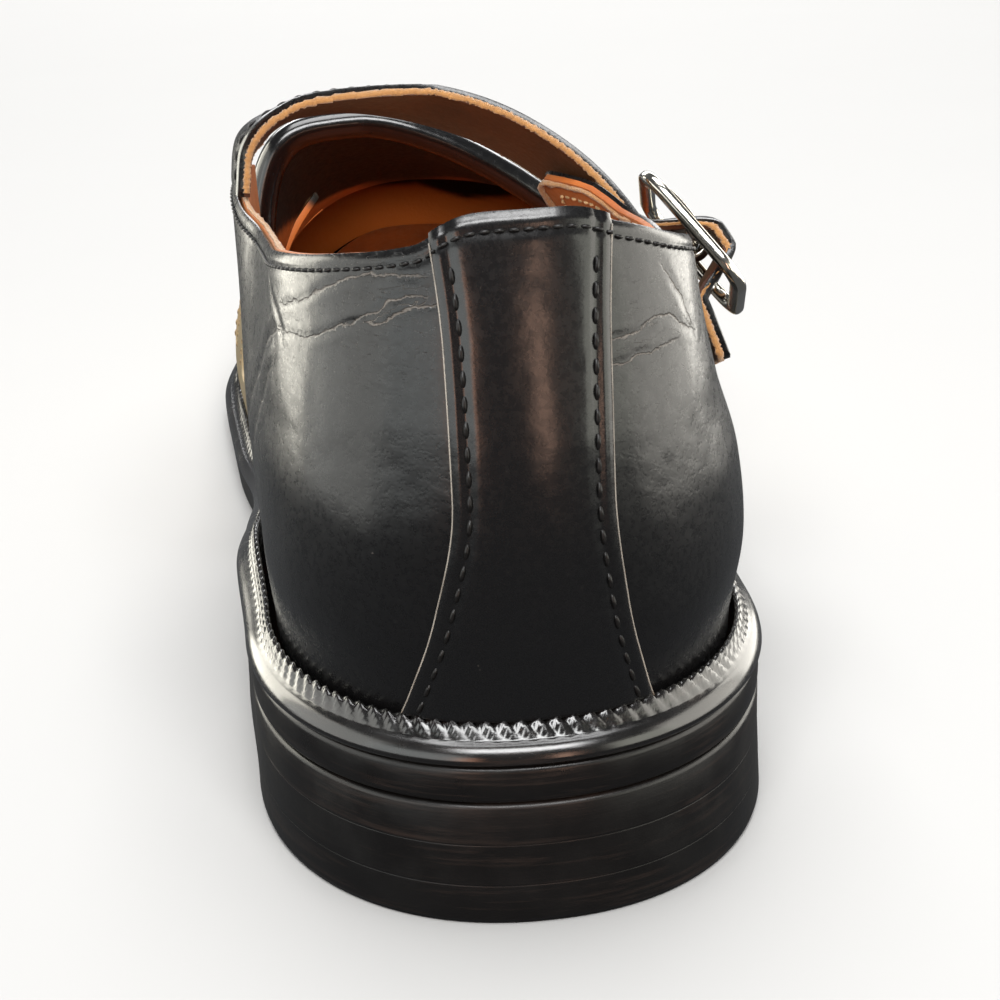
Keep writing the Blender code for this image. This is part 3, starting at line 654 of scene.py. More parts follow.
def black_calf(name="Box calf, aniline black, polished", roughness=0.27, coat=0.35, grain=0.45):
    """Smooth full-grain calf. Polish gives a sharp sheen over soft waves, with faint pores and dust, and
    rubbed creases whose lines wander. Pale colour along the creases is partly dust and wax and partly
    painted highlight."""
    made, node, place = start(name, IOR=1.5, Coat_Weight=coat, Coat_Roughness=0.16)
    crease, drawn, aside = (
        node("Attribute", "Fac", {}, attribute_name=mask) for mask in ("crease", "line", "line_side")
    )
    long_place = node("Mapping", "Vector", {"Vector": place, "Scale": (1.0, 1.0, 3.6)})
    # Grain and dust are finer on real calf. They are drawn at 0.9 mm, so that they show.
    waves, fine, dust, wander, bands = (
        node("TexNoise", "Fac",
             {"Vector": at, "Scale": per_metre(mark), "Detail": detail, "Roughness": rough})
        for at, mark, detail, rough in (
            (place, 10.0, 2.0, 0.55),
            (place, 0.9, 5.0, 0.65),
            (place, 0.9, 5.0, 0.70),
            (place, 3.0, 4.0, 0.70),
            (long_place, 6.0, 3.0, 0.60),
        )
    )
    # Pores lie about 0.2 mm apart. They are drawn at 0.5 mm, so that they show.
    pores = node("TexVoronoi", "Distance", {"Vector": place, "Scale": per_metre(0.5)})
    bands = node("Math", "Value", {0: bands, 1: 7.0}, operation="MULTIPLY")
    bands = node("Math", "Value", {0: bands, 1: 0.5}, operation="PINGPONG")
    rubbed = node("MapRange", "Result", {"Value": bands, "From Max": 0.025, "To Min": 1.0, "To Max": 0.0})
    wear_and_glint = node("Math", "Value", {0: rubbed, 1: crease}, operation="MULTIPLY")
    wander = node("MapRange", "Result", {"Value": wander, "To Min": -0.0011, "To Max": 0.0011})
    aside = node("Math", "Value", {0: aside, 1: wander}, operation="ADD")
    aside = node("Math", "Value", {0: aside}, operation="ABSOLUTE")
    line = node("MapRange", "Result", {"Value": aside, "From Min": 0.00004, "From Max": 0.00022,
                                       "To Min": 1.0, "To Max": 0.0})
    line = node("Math", "Value", {0: line, 1: drawn}, operation="MULTIPLY")
    specks = node("MapRange", "Result", {"Value": dust, "From Min": 0.71, "From Max": 0.78})
    # Pale along the creases, partly as dust and wax and partly as painted highlight; the specks are dust
    pale = node("Math", "Value", {0: wear_and_glint, 1: 0.35}, operation="MULTIPLY")
    pale = node("Math", "Value", {0: pale, 1: line}, operation="MAXIMUM")
    pale = node("Math", "Value", {0: pale, 1: specks}, operation="ADD", use_clamp=True)
    pale = node("Math", "Value", {0: pale, 1: 0.36}, operation="MULTIPLY")
    tint = node("Mix", 2, {0: pale, 6: tuple(colours().black), 7: linear("#8F8A84")}, data_type="RGBA")
    gloss = node("MapRange", "Result", {"Value": fine, "From Min": 0.3, "From Max": 0.7,
                                        "To Min": roughness - 0.05, "To Max": roughness + 0.09})
    gloss = node("Math", "Value", {0: gloss, 1: pale}, operation="ADD")
    under = {}
    for height, strength, depth, sunk in (
        (waves, 0.3, 0.0010, False),
        (fine, 0.5 * grain, 0.00012, False),
        (wear_and_glint, 0.35, 0.00014, True),
        (line, 0.6, 0.0002, True),
        (pores, 0.3 * grain, 0.00006, False),
    ):
        inputs = {"Height": height, "Strength": strength, "Distance": depth, **under}
        under = {"Normal": node("Bump", "Normal", inputs, invert=sunk)}
    return wired(made, Base_Color=tint, Roughness=gloss, Coat_Normal=under["Normal"], **under)


def cream_calf():
    """Undyed calf with a light finish. It is matt and warm, with open grain, faint stains and soft sheen."""
    made, node, place = start("Cream calf, lightly finished", IOR=1.48, Coat_Weight=0.08, Coat_Roughness=0.4)
    stains, fine = (
        node("TexNoise", "Fac",
             {"Vector": place, "Scale": per_metre(mark), "Detail": detail, "Roughness": rough})
        for mark, detail, rough in ((16.0, 4.0, 0.55), (2.2, 5.0, 0.6))
    )
    # Real grain is about 0.3 mm wide. It is drawn at 0.8 mm, so that it shows.
    grain = node("TexVoronoi", "Distance", {"Vector": place, "Scale": per_metre(0.8)})
    mix = node("MapRange", "Result", {"Value": stains, "From Min": 0.4, "From Max": 0.75, "To Max": 0.5})
    tint = node("Mix", 2, {0: mix, 6: tuple(colours().cream), 7: linear("#B4935F")}, data_type="RGBA")
    gloss = node("MapRange", "Result", {"Value": fine, "From Min": 0.3, "From Max": 0.7,
                                        "To Min": 0.42, "To Max": 0.58})
    relief = node("Bump", "Normal", {"Height": fine, "Strength": 0.3, "Distance": 0.0002})
    relief = node("Bump", "Normal", {"Height": grain, "Strength": 0.3, "Distance": 0.0001, "Normal": relief})
    return wired(made, Base_Color=tint, Roughness=gloss, Normal=relief)


def bare_leather(name, tone, dark, roughness, grain_size=1.1, sheen=0.15, deep=None):
    """Vegetable-tanned leather left bare. It is warm, mottled where a foot rubbed it, with a short nap. Where
    the mask named deep is set, it takes another tone."""
    made, node, place = start(name, IOR=1.45, Sheen_Weight=sheen, Sheen_Roughness=0.5,
                              Sheen_Tint=linear("#E6B98A"))
    # The nap's fibres are under 0.1 mm thick. The grain is drawn at over 1 mm, so that it shows.
    blotch, grain = (
        node("TexNoise", "Fac",
             {"Vector": place, "Scale": per_metre(mark), "Detail": detail, "Roughness": rough})
        for mark, detail, rough in ((11.0, 5.0, 0.6), (grain_size, 4.0, 0.65))
    )
    mix = node("MapRange", "Result", {"Value": blotch, "From Min": 0.38, "From Max": 0.72, "To Max": 0.75})
    tint = node("Mix", 2, {0: mix, 6: tuple(tone), 7: linear(dark)}, data_type="RGBA")
    if deep:
        mask = node("Attribute", "Fac", {}, attribute_name="deep")
        tint = node("Mix", 2, {0: mask, 6: tint, 7: tuple(deep)}, data_type="RGBA")
    gloss = node("MapRange", "Result", {"Value": grain, "From Min": 0.3, "From Max": 0.7,
                                        "To Min": roughness - 0.07, "To Max": roughness + 0.1})
    relief = node("Bump", "Normal", {"Height": grain, "Strength": 0.45, "Distance": 0.00022})
    return wired(made, Base_Color=tint, Roughness=gloss, Normal=relief)


def torn_fibre():
    """Torn edge of split leather. Loose fibres make it pale, matt and uneven."""
    made, node, place = start("Split leather, torn edge", IOR=1.45, Roughness=0.9, Sheen_Weight=0.4)
    # Real fibres are under 0.1 mm thick. They are drawn at 0.5 mm, so that they show.
    fibre = node("TexNoise", "Fac",
                 {"Vector": place, "Scale": per_metre(0.5), "Detail": 6.0, "Roughness": 0.75})
    mix = node("MapRange", "Result", {"Value": fibre, "From Min": 0.35, "From Max": 0.7})
    tint = node("Mix", 2, {0: mix, 6: linear("#8A6238"), 7: tuple(colours().raw)}, data_type="RGBA")
    relief = node("Bump", "Normal", {"Height": fibre, "Strength": 0.8, "Distance": 0.0004})
    return wired(made, Base_Color=tint, Normal=relief)


def thread_wax(name, tone):
    """Linen thread pulled through wax. Its twist shows as slanted bands under a dull shine."""
    made, node, place = start(name, IOR=1.47, Roughness=0.42)
    # The wave node draws nearly three bands in one unit, so these lie about 0.8 mm apart.
    twist = node("TexWave", "Fac", {"Vector": place, "Scale": per_metre(2.2), "Distortion": 1.5},
                 bands_direction="DIAGONAL")
    shade = (*(c * 0.55 for c in tone[:3]), 1.0)
    tint = node("Mix", 2, {0: twist, 6: tuple(tone), 7: shade}, data_type="RGBA")
    relief = node("Bump", "Normal", {"Height": twist, "Strength": 0.4, "Distance": 0.0001})
    return wired(made, Base_Color=tint, Normal=relief)


def inked_edge(name, roughness, line_size, coat):
    """Leather edge, sanded, inked and waxed. Fine lines run round it where the layers and grit marks show."""
    made, node, place = start(name, IOR=1.5, Coat_Weight=coat, Coat_Roughness=0.2)
    flat = node("Mapping", "Vector", {"Vector": place, "Scale": (0.05, 0.05, 1.0)})
    # Grit leaves lines about 0.2 mm apart. They are drawn at about 1 mm, so that they show.
    lines, rub = (
        node("TexNoise", "Fac",
             {"Vector": at, "Scale": per_metre(mark), "Detail": detail, "Roughness": rough})
        for at, mark, detail, rough in ((flat, line_size, 5.0, 0.7), (place, 7.0, 4.0, 0.55))
    )
    mix = node("MapRange", "Result", {"Value": lines, "From Min": 0.52, "From Max": 0.75, "To Max": 0.55})
    tint = node("Mix", 2, {0: mix, 6: tuple(colours().edge_ink), 7: linear("#2A211D")}, data_type="RGBA")
    gloss = node("MapRange", "Result", {"Value": rub, "From Min": 0.3, "From Max": 0.7,
                                        "To Min": roughness - 0.08, "To Max": roughness + 0.12})
    relief = node("Bump", "Normal", {"Height": lines, "Strength": 0.22, "Distance": 0.00018})
    return wired(made, Base_Color=tint, Roughness=gloss, Normal=relief)


def nickel_plate():
    """Brass casting, polished and nickel plated. It mirrors the room, a little warm, with fine scratches."""
    made, node, place = start("Nickel plate, polished", Metallic=1.0, Base_Color=tuple(colours().nickel))
    drawn = node("Mapping", "Vector", {"Vector": place, "Scale": (1.0, 0.12, 1.0)})
    # Hairline scratches are far under 0.1 mm wide. They are drawn at 0.7 mm, so that they show.
    scratch = node("TexNoise", "Fac",
                   {"Vector": drawn, "Scale": per_metre(0.7), "Detail": 3.0, "Roughness": 0.55})
    gloss = node("MapRange", "Result", {"Value": scratch, "From Min": 0.3, "From Max": 0.75,
                                        "To Min": 0.09, "To Max": 0.24})
    return wired(made, Roughness=gloss)


def material(name, make, *settings):
    """Material of that short name, made once."""
    found = next((m for m in bpy.data.materials if m.get("finish") == name), None)
    if not found:
        found = make(*settings)
        found["finish"] = name
    return found


def calf():
    return material("calf", black_calf)


def lining_leather():
    return material("lining", bare_leather, "Lining calf, bare", colours().lining, "#6E3515", 0.6)


def black_thread():
    return material("black thread", thread_wax, "Waxed linen thread, black", colours().thread)


def pale_thread():
    return material("pale thread", thread_wax, "Waxed linen thread, natural", colours().pale_thread)


# Quarters

GIRTH_COLUMN = 1.7      # column that the table of girths reaches on each side
GIRTH_SHARE = 0.55      # height at which the way round them is measured
STEEP_COLUMNS = 46      # mesh columns down a front edge
SLOPE_STEP = 0.002
TOP_BAND = 0.0062       # band under the top edge with rows of its own
BAND_MOST = 0.62        # of the wall that it may take
CREASED_FROM = 0.60     # share of the wall from which the rows are fine
CREASE_END = 0.08       # share of the half wave of its depth that is left out at each end
RIDGE_OUT = 1.9         # of a crease's width, from its trough to the ridge beside it
RIDGE_RISE = 0.3        # of a crease's depth
WEAR_AND_GLINT_WIDTH = 0.0062     # rubbed leather beside a crease; its pale colour is partly painted highlight
LINE_WIDTH = 0.0012
LINE_REACH = 0.004
WAVE_RISE = 0.00016
BEAD_REACH = 0.0014
GROOVE = 0.0002         # where stitches pull
GROOVE_WIDTH = 0.0006
LINING_GAP = 0.00005
TORN_INSET = 0.00055    # middle of the lining's torn edge inside the outer leather
TORN_DROP = 0.0011      # drop of the torn edge where it is trimmed
TORN_FRONT = -0.95      # columns between which the trimming starts
TORN_BACK = -0.75
TORN_ROUGH = 0.22       # spread of its thickness
TORN_THIN = 0.72        # its thickness at the inner front
SEAM_FRONT = 0.1075     # end of the top seam along the foot
FRONT_SEAM = (0.110, 0.130)
LINING_SEAM = (0.060, 0.098)
LINING_SEAM_DROP = 0.0030
UNDER_STRIP = 0.0005    # how far below a stitch the back strip's width is looked up


@lru_cache(maxsize=None)
def girth_table():
    """Columns of the quarters and their distance round the upper from the heel's middle."""
    w = np.linspace(-GIRTH_COLUMN, GIRTH_COLUMN, 1701)
    spots = last_point(w, np.full(w.shape, GIRTH_SHARE))
    run = np.concatenate([[0], np.cumsum(np.linalg.norm(np.diff(spots, axis=0), axis=1))])
    return w, run - np.interp(0.0, w, run)


def topline(w):
    return sided(TOPLINE, rim(w)[1], w)


def quarter_columns():
    """Columns a mesh step apart, and closer on the steep front edges."""
    size = sizes()
    w, run = girth_table()
    halves = []
    for side, stops in ((-1, INNER_STOPS), (1, OUTER_STOPS)):
        places = np.interp([side * stop.w for stop in stops], w, run)
        runs = [np.linspace(a, b, int(abs(b - a) / (size.crease_step * stop.step)))[1:]
                for a, b, stop in zip(places, places[1:], stops)]
        steep = side * np.linspace(stops[-1].w, column_at(TOPLINE[-1].y), STEEP_COLUMNS)[1:]
        halves.append(np.concatenate([np.interp(np.concatenate(runs), run, w), steep]))
    return np.concatenate([halves[0][::-1], [0.0], halves[1]])


def slant(w):
    """Cosine of the top edge's slope, so that its bead keeps its width on the steep front edges."""
    grid, run = girth_table()
    spread = np.interp(w + SLOPE_STEP, grid, run) - np.interp(w - SLOPE_STEP, grid, run)
    slope = (topline(w + SLOPE_STEP) - topline(w - SLOPE_STEP)) / spread
    return 1 / np.sqrt(1 + slope ** 2)


def quarter_shares(w, low, top_rows, band):
    """Shares of the quarters' rows, dense in a band along the top edge, and the rows' distances to it."""
    top = topline(w)
    foot = last_point(w, np.zeros(w.shape))[:, 2]
    drop = np.minimum(band / slant(w), BAND_MOST * (top - foot))
    low_share, top_share = share_at(w, top - drop), share_at(w, top)
    t = np.concatenate([low[:-1], np.linspace(1, 2, top_rows)])[:, None]
    shares = np.where(t < 1, low_share * t, low_share + (top_share - low_share) * (t - 1))
    depth = np.where(t < 1, drop + (top - foot - drop) * (1 - t), drop * (2 - t)) * slant(w)
    return shares, depth


def crease_line(crease):
    """Points along a crease as girth and height, the way ahead there, and how deep it is pressed."""
    knots = np.array([(np.interp(w, *girth_table()), z) for w, z in crease.route])
    t, fine = np.linspace(0, 1, len(knots)), np.linspace(0, 1, 48)
    line = np.stack([along([HeightRow(*pair) for pair in zip(t, axis)], "z", fine) for axis in knots.T], -1)
    pressed = np.sin(math.pi * (CREASE_END + (1 - 2 * CREASE_END) * fine)) ** 0.7
    return line, unit(np.gradient(line, axis=0)), pressed


def crease_relief(w, z):
    """Rise of the quarters' surface from its creases, and masks: rubbed leather, the creases' lines and how
    far to the side of the nearest line a point lies. The calf paints the rubbed leather and the lines pale,
    partly as dust and wax and partly as painted highlight."""
    girth = np.interp(w, *girth_table())
    rise, wear_and_glint, lines, side = (np.zeros(w.shape) for _ in range(4))
    nearest = np.full(w.shape, 1.0)
    for crease in CREASES:
        near, fade, across = np.full(w.shape, 1.0), np.zeros(w.shape), np.zeros(w.shape)
        for place, (run_on, climb), pressed in zip(*crease_line(crease)):
            aside, above = girth - place[0], z - place[1]
            distance = np.hypot(aside, above)
            closer = distance < near
            near = np.where(closer, distance, near)
            fade = np.where(closer, pressed, fade)
            across = np.where(closer, above * run_on - aside * climb, across)
        ridge = bell(near - RIDGE_OUT * crease.width, crease.width)
        rise += crease.depth * sizes().crease_scale * fade * (RIDGE_RISE * ridge - bell(near, crease.width))
        # Rubbed band beside the crease, painted pale in the calf partly as painted highlight
        wear_and_glint = np.maximum(wear_and_glint, fade * bell(near, WEAR_AND_GLINT_WIDTH))
        side = np.where(near < nearest, across, side)
        lines = np.where(near < nearest, fade * bell(near, LINE_WIDTH), lines)
        nearest = np.minimum(nearest, near)
    return rise, {"crease": wear_and_glint, "line": lines, "line_side": np.clip(side, -LINE_REACH, LINE_REACH)}


def soft_waves(w, z):
    """Slow dents and swellings that polished leather shows over the stiffener."""
    girth = np.interp(w, *girth_table())
    broad = np.sin(girth / 0.0105 + 2.1 * np.sin(z / 0.017)) * np.sin(z / 0.0125 + 0.7)
    slanted = np.sin(girth / 0.0061 + z / 0.0093 + 1.3)
    return WAVE_RISE * (broad + 0.6 * slanted)


def bead_rise(depth):
    """Turned top edge: rounded over, with a groove where the stitches pull."""
    over = np.clip(1 - depth / BEAD_REACH, 0, 1)
    return -sizes().bead * over ** 2 - GROOVE * bell(depth - sizes().seam_inset, GROOVE_WIDTH)


@lru_cache(maxsize=None)
def strip_edges():
    """Heights, and the columns of the back strip's inner and outer edges there."""
    z = np.linspace(0.022, 0.098, 60)
    edges = []
    for name, side in (("medial", -1), ("lateral", 1)):
        half = along(BACK_STRIP, name, z)
        edges.append(side * bisect(
            z.shape, lambda part: np.abs(last_point(side * part, share_at(side * part, z))[:, 0]) < half
        ))
    return z, *edges


def over_strip(w, z):
    """True where the back strip covers the quarters."""
    heights, inner, outer = strip_edges()
    return (w > np.interp(z, heights, inner)) & (w < np.interp(z, heights, outer))


def edge_path(w, depth):
    """Points and outward directions along the quarters' top edge, at a distance below it."""
    s = share_at(w, topline(w) - depth / slant(w))
    covered = over_strip(w, last_point(w, s)[:, 2] - UNDER_STRIP)
    return laid(w, s, np.where(covered, STRIP_OUT, 0.0))


class SANDAL_OT_quarters(bpy.types.Operator):
    """Quarters: polished outer leather with its creases, bare lining, torn lining edge and top seam"""
    bl_idname = "sandal.quarters"
    bl_label = "Quarters"

    def execute(self, context):
        size = sizes()
        w = quarter_columns()
        low = np.concatenate([np.linspace(0, CREASED_FROM, 34)[:-1], np.linspace(CREASED_FROM, 1, 62)])
        shares, depth = quarter_shares(w, low, 18, TOP_BAND)
        wide = np.broadcast_to(w, shares.shape)
        spots, outs = laid(wide, shares)
        z = spots[..., 2]
        rise, masks = crease_relief(wide, z)
        fade = smoothstep(0.002, 0.012, depth) * smoothstep(0.0, 0.010, z - z[:1])
        rise = rise + soft_waves(wide, z) * fade + bead_rise(depth)
        piece("quarter_leather", spots + outs * rise[..., None], grid_faces(*shares.shape), calf(),
              "black_leather", ["upper"], size.leather, size.edge_round, masks)
        self.make_lining(w[::3])
        self.make_torn_edge(w)
        self.make_seams()
        return {"FINISHED"}

    def make_lining(self, w):
        size = sizes()
        shares, _ = quarter_shares(w, np.linspace(0, 1, 34), 6, 0.006)
        points, _ = laid(np.broadcast_to(w, shares.shape), shares, -size.leather - LINING_GAP)
        piece("quarter_lining", points, grid_faces(*shares.shape), lining_leather(), "tan_leather", ["upper"],
              WALL - size.leather, SMALL_ROUND)

    def make_torn_edge(self, w):
        """Fibres along the lining's top edge, thinner and higher where they show at the inner front."""
        draw = np.random.default_rng(11)
        w = w[np.abs(w) < column_at(0.1085)]
        back = smoothstep(TORN_FRONT, TORN_BACK, w)
        spots, outs = laid(w, share_at(w, topline(w)), -sizes().leather - TORN_INSET)
        centres = spots - np.array([0, 0, TORN_DROP]) * back[:, None]
        jitter = 1 + TORN_ROUGH * draw.normal(0, 1, (len(w), 10, 1))
        section = oval(0.00052, 0.00045, 10) * jitter * (TORN_THIN + (1 - TORN_THIN) * back)[:, None, None]
        up = unit(np.cross(np.gradient(centres, axis=0), outs))
        up = up * np.sign(up[:, 2:])
        piece("quarter_lining_edge", *sweep(centres, outs, up, section + np.array([0.0, 0.00012])),
              material("raw", torn_fibre), "tan_leather")

    def make_seams(self):
        """Black stitches along the top edge and down both front edges, and pale ones on the outer lining."""
        size = sizes()
        fine = size.thread * 0.8
        top = np.linspace(-column_at(SEAM_FRONT), column_at(SEAM_FRONT), 900)
        row = stitches(*edge_path(top, size.seam_inset), size.top_pitch, fine, sink=0.00002)
        piece("topline_stitches", *row, black_thread(), "black_leather")
        front = np.linspace(*column_at(FRONT_SEAM), 120)
        fronts = [
            stitches(*edge_path(w, size.seam_inset), size.top_pitch, fine) for w in (-front, front)
        ]
        piece("front_edge_stitches", *join(fronts), black_thread(), "black_leather")
        w = np.linspace(*column_at(LINING_SEAM), 200)
        spots, outs = laid(w, share_at(w, topline(w) - LINING_SEAM_DROP / slant(w)), -WALL - 0.00004)
        row = stitches(spots, -outs, size.top_pitch, size.thread)
        piece("lining_stitches", *row, pale_thread(), "tan_leather")


# Strip up the heel

STRIP_SEAM = 0.0001     # its stitches lie this much further in than those of the top edge
STRIP_GROOVE = 0.00032
STRIP_ROLL = 0.0003     # rounding of its sides
STRIP_TOP = 0.0003      # its top stands this much over the quarters
STRIP_FOOT = SKIRT * 0.55   # its lower end over the welt
CUT_DEPTH = 0.00045     # middle of its cut edge below its face
STITCH_SINK = 0.00024
STITCHED_TO = 0.0045    # its stitches end this far under the top edge


class SANDAL_OT_back_strip(bpy.types.Operator):
    """Strip up the heel: hourglass of polished leather with a row of stitches inside each edge"""
    bl_idname = "sandal.back_strip"
    bl_label = "Back strip"

    def execute(self, context):
        size = sizes()
        heights, inner, outer = strip_edges()
        across = np.linspace(0, 1, 44)
        up = np.concatenate([np.linspace(0, 0.90, 66)[:-1], np.linspace(0.90, 1, 16)])[:, None]
        z = np.broadcast_to(0.03 + 0.065 * up, (len(up), len(across)))
        for _ in range(5):   # the width follows from the height, and the height from the column
            low, high = np.interp(z, heights, inner), np.interp(z, heights, outer)
            w = low + (high - low) * across
            foot = feather_height(inset(w, LEDGE)[1]) + STRIP_FOOT
            z = foot + (topline(w) + STRIP_TOP - foot) * up
        spots, outs = laid(w, share_at(w, z))
        breadth = np.linalg.norm(spots[:, -1] - spots[:, 0], axis=-1)[:, None]
        margin = np.minimum(across, 1 - across) * breadth
        seam = size.seam_inset + STRIP_SEAM
        rise = STRIP_OUT - STRIP_GROOVE * bell(margin - seam, GROOVE_WIDTH)
        rise = rise - STRIP_ROLL * bell(margin, GROOVE_WIDTH) + bead_rise(topline(w) - z) * 0.8
        rise = rise + soft_waves(w * 1.7, z) * 0.5 * smoothstep(0.002, 0.006, margin)
        gloss = material("strip", black_calf, "Box calf, aniline black, burnished", 0.25, 0.5, 0.25)
        piece("back_strip_leather", spots + outs * rise[..., None], grid_faces(*w.shape), gloss,
              "black_leather", ["back_strip"], OVERLAY, size.edge_round)
        self.make_cut_edges(spots + outs * (STRIP_OUT - CUT_DEPTH), outs)
        self.make_seams(w, z, seam / breadth[:, 0])
        return {"FINISHED"}

    def make_cut_edges(self, spots, outs):
        """Pale line of undyed leather down both sides, which stops short of the turned top. The pale colour
        is partly that undyed edge and partly a painted highlight.
        """
        lines = []
        for edge in (0, -1):
            sides = np.cross(unit(np.gradient(spots[:, edge], axis=0)), outs[:, edge])
            lines.append(sweep(spots[:-3, edge], sides[:-3], outs[:-3, edge], oval(0.00012, 0.00026, 8)))
        # Grey cut edge: partly undyed leather, partly a painted highlight along the edge
        cut = material("cut edge", bare_leather, "Calf, cut edge, undyed", linear("#7E7C78"), "#2A2826", 0.6)
        piece("back_strip_edge", *join(lines), cut, "black_leather")

    def make_seams(self, w, z, margin):
        """Stitches at a share of the breadth inside each side."""
        size = sizes()
        rows = []
        for share in (margin, 1 - margin):
            column, height = (grid[:, 0] + (grid[:, -1] - grid[:, 0]) * share for grid in (w, z))
            keep = height < topline(column) - STITCHED_TO
            column, height = column[keep], height[keep]
            path = laid(column, share_at(column, height), STRIP_OUT - STITCH_SINK)
            rows.append(stitches(*path, size.stitch_pitch, size.thread * 1.1))
        piece("back_strip_stitches", *join(rows), black_thread(), "black_leather")


# Vamp

SLOT_SEAM = 0.0019      # from a slot to the stitches beside it
THROAT_SEAM = 0.0072    # from the vamp's back edge to its stitches
VAMP_SKIVE = 0.0007     # the vamp lies this much deeper at the sole
CENTRE_PAST = 0.012     # reach of the centre strap past the last slot
CENTRE_ROUND = 0.004
TOE_COLUMNS = 5.2       # columns a metre of the crest, past the toe's start
THROAT_SECTION = [      # places ahead of the throat's edge and out of the last
    (0.0052, 0.0013), (0.0044, 0.0021), (0.0026, 0.0026), (0.0008, 0.0024), (-0.0006, 0.0014),
    (-0.0010, 0.0001), (-0.0006, -0.0012), (0.0008, -0.0021), (0.0028, -0.0024), (0.0048, -0.0021),
    (0.0056, -0.0012),
]


def band_share(w):
    return share_at(w, feather_height(inset(w, LEDGE)[1]) + BAND)


def row_share(w, row):
    """Shares of the vamp's rows: 0 at the sole, BAND_ROW at the top of the low band, TOP_ROW at the crest."""
    band = band_share(w)
    over = band + (1 - band) * (row - BAND_ROW) / (TOP_ROW - BAND_ROW)
    return np.where(row < BAND_ROW, band * row / BAND_ROW, over)


def slot_width(row):
    """Share of a slot's full width at a row: a long opening with rounded ends."""
    t = np.clip((row - BAND_ROW) / (SPINE_ROW - BAND_ROW), 0, 1)
    return np.clip(1 - np.abs(2 * t - 1) ** 9, 0, 1) ** (1 / 5)


def vamp_rows():
    low = np.linspace(0, BAND_ROW, 9)[:-1]
    span = SPINE_ROW - BAND_ROW
    inside = BAND_ROW + span * (0.5 - 0.5 * np.cos(np.linspace(0, math.pi, 42)))
    high = np.linspace(SPINE_ROW, TOP_ROW, 18)[1:]
    return np.concatenate([low, inside, high])


def vamp_columns(rows, back):
    """Columns of one side for each row, drawn apart round the slots, and which stretches are slots."""
    ends = [back, *(y for pair in SLOTS for y in pair), TOE_START + 0.006]
    opening = slot_width(rows)[:, None]
    places, is_slot = [], []
    for i, (a, b) in enumerate(zip(ends, ends[1:])):
        steps = 4 if i % 2 else max(int((b - a) / sizes().mesh_step), 6)
        t = np.linspace(0, 1, steps + 1)[: None if i == len(ends) - 2 else -1]
        left, right = slot_edge(a, opening), slot_edge(b, opening)
        places.append(left + (right - left) * t)
        is_slot += [i % 2 == 1] * steps
    side = column_at(np.concatenate(places, axis=1))
    toe = np.broadcast_to(np.linspace(side[0, -1], 3, 86)[1:], (len(rows), 85))
    is_slot += [False] * toe.shape[1]
    return np.concatenate([side, toe], axis=1), np.array(is_slot)


def slot_edge(y, opening):
    """Place of a slot's edge, which closes on the slot's middle where the slot ends."""
    for start_y, end_y in SLOTS:
        if y in (start_y, end_y):
            middle = (start_y + end_y) / 2
            return middle + (y - middle) * opening
    return np.full(opening.shape, y)


def both_sides(columns, rows, out, keep=None):
    """Mesh of the outer and the inner half of a sheet, at a distance out of the last."""
    parts = []
    for side in (1, -1):
        w = np.where(columns >= 3 - 1e-9, 3.0, columns * side)
        points, _ = laid(w, row_share(w, rows), out)
        faces = grid_faces(*columns.shape, keep=keep)
        parts.append((points.reshape(-1, 3), faces if side > 0 else [face[::-1] for face in faces]))
    return join(parts)


def vamp_sheet(back, out):
    """Points and faces of the vamp with its slots, at a distance out of the last for each of its rows."""
    rows = vamp_rows()
    columns, is_slot = vamp_columns(rows, back)
    low, high = rows[:-1, None], rows[1:, None]
    open_rows = (slot_width(low) + slot_width(high) > 0) & (low >= BAND_ROW) & (high <= SPINE_ROW)
    return both_sides(columns, rows[:, None], out(rows)[:, None], ~(is_slot & open_rows))


def below_facing_and_shade(points):
    """1 on the vamp's lining below its dark part, which reaches from the throat over the instep. The dark
    part is partly a black facing and partly painted shade under the vamp's roof.
    """
    x, y, z = points.T
    edge = FACING_AND_SHADE_EDGE - FACING_AND_SHADE_DROP * np.maximum(y - FACING_AND_SHADE_END, 0)
    edge = edge - FACING_AND_SHADE_SIDE * np.clip(x - FACING_AND_SHADE_TURN, 0, FACING_AND_SHADE_TURN)
    return smoothstep(-FACING_AND_SHADE_BLUR, FACING_AND_SHADE_BLUR, edge - z)


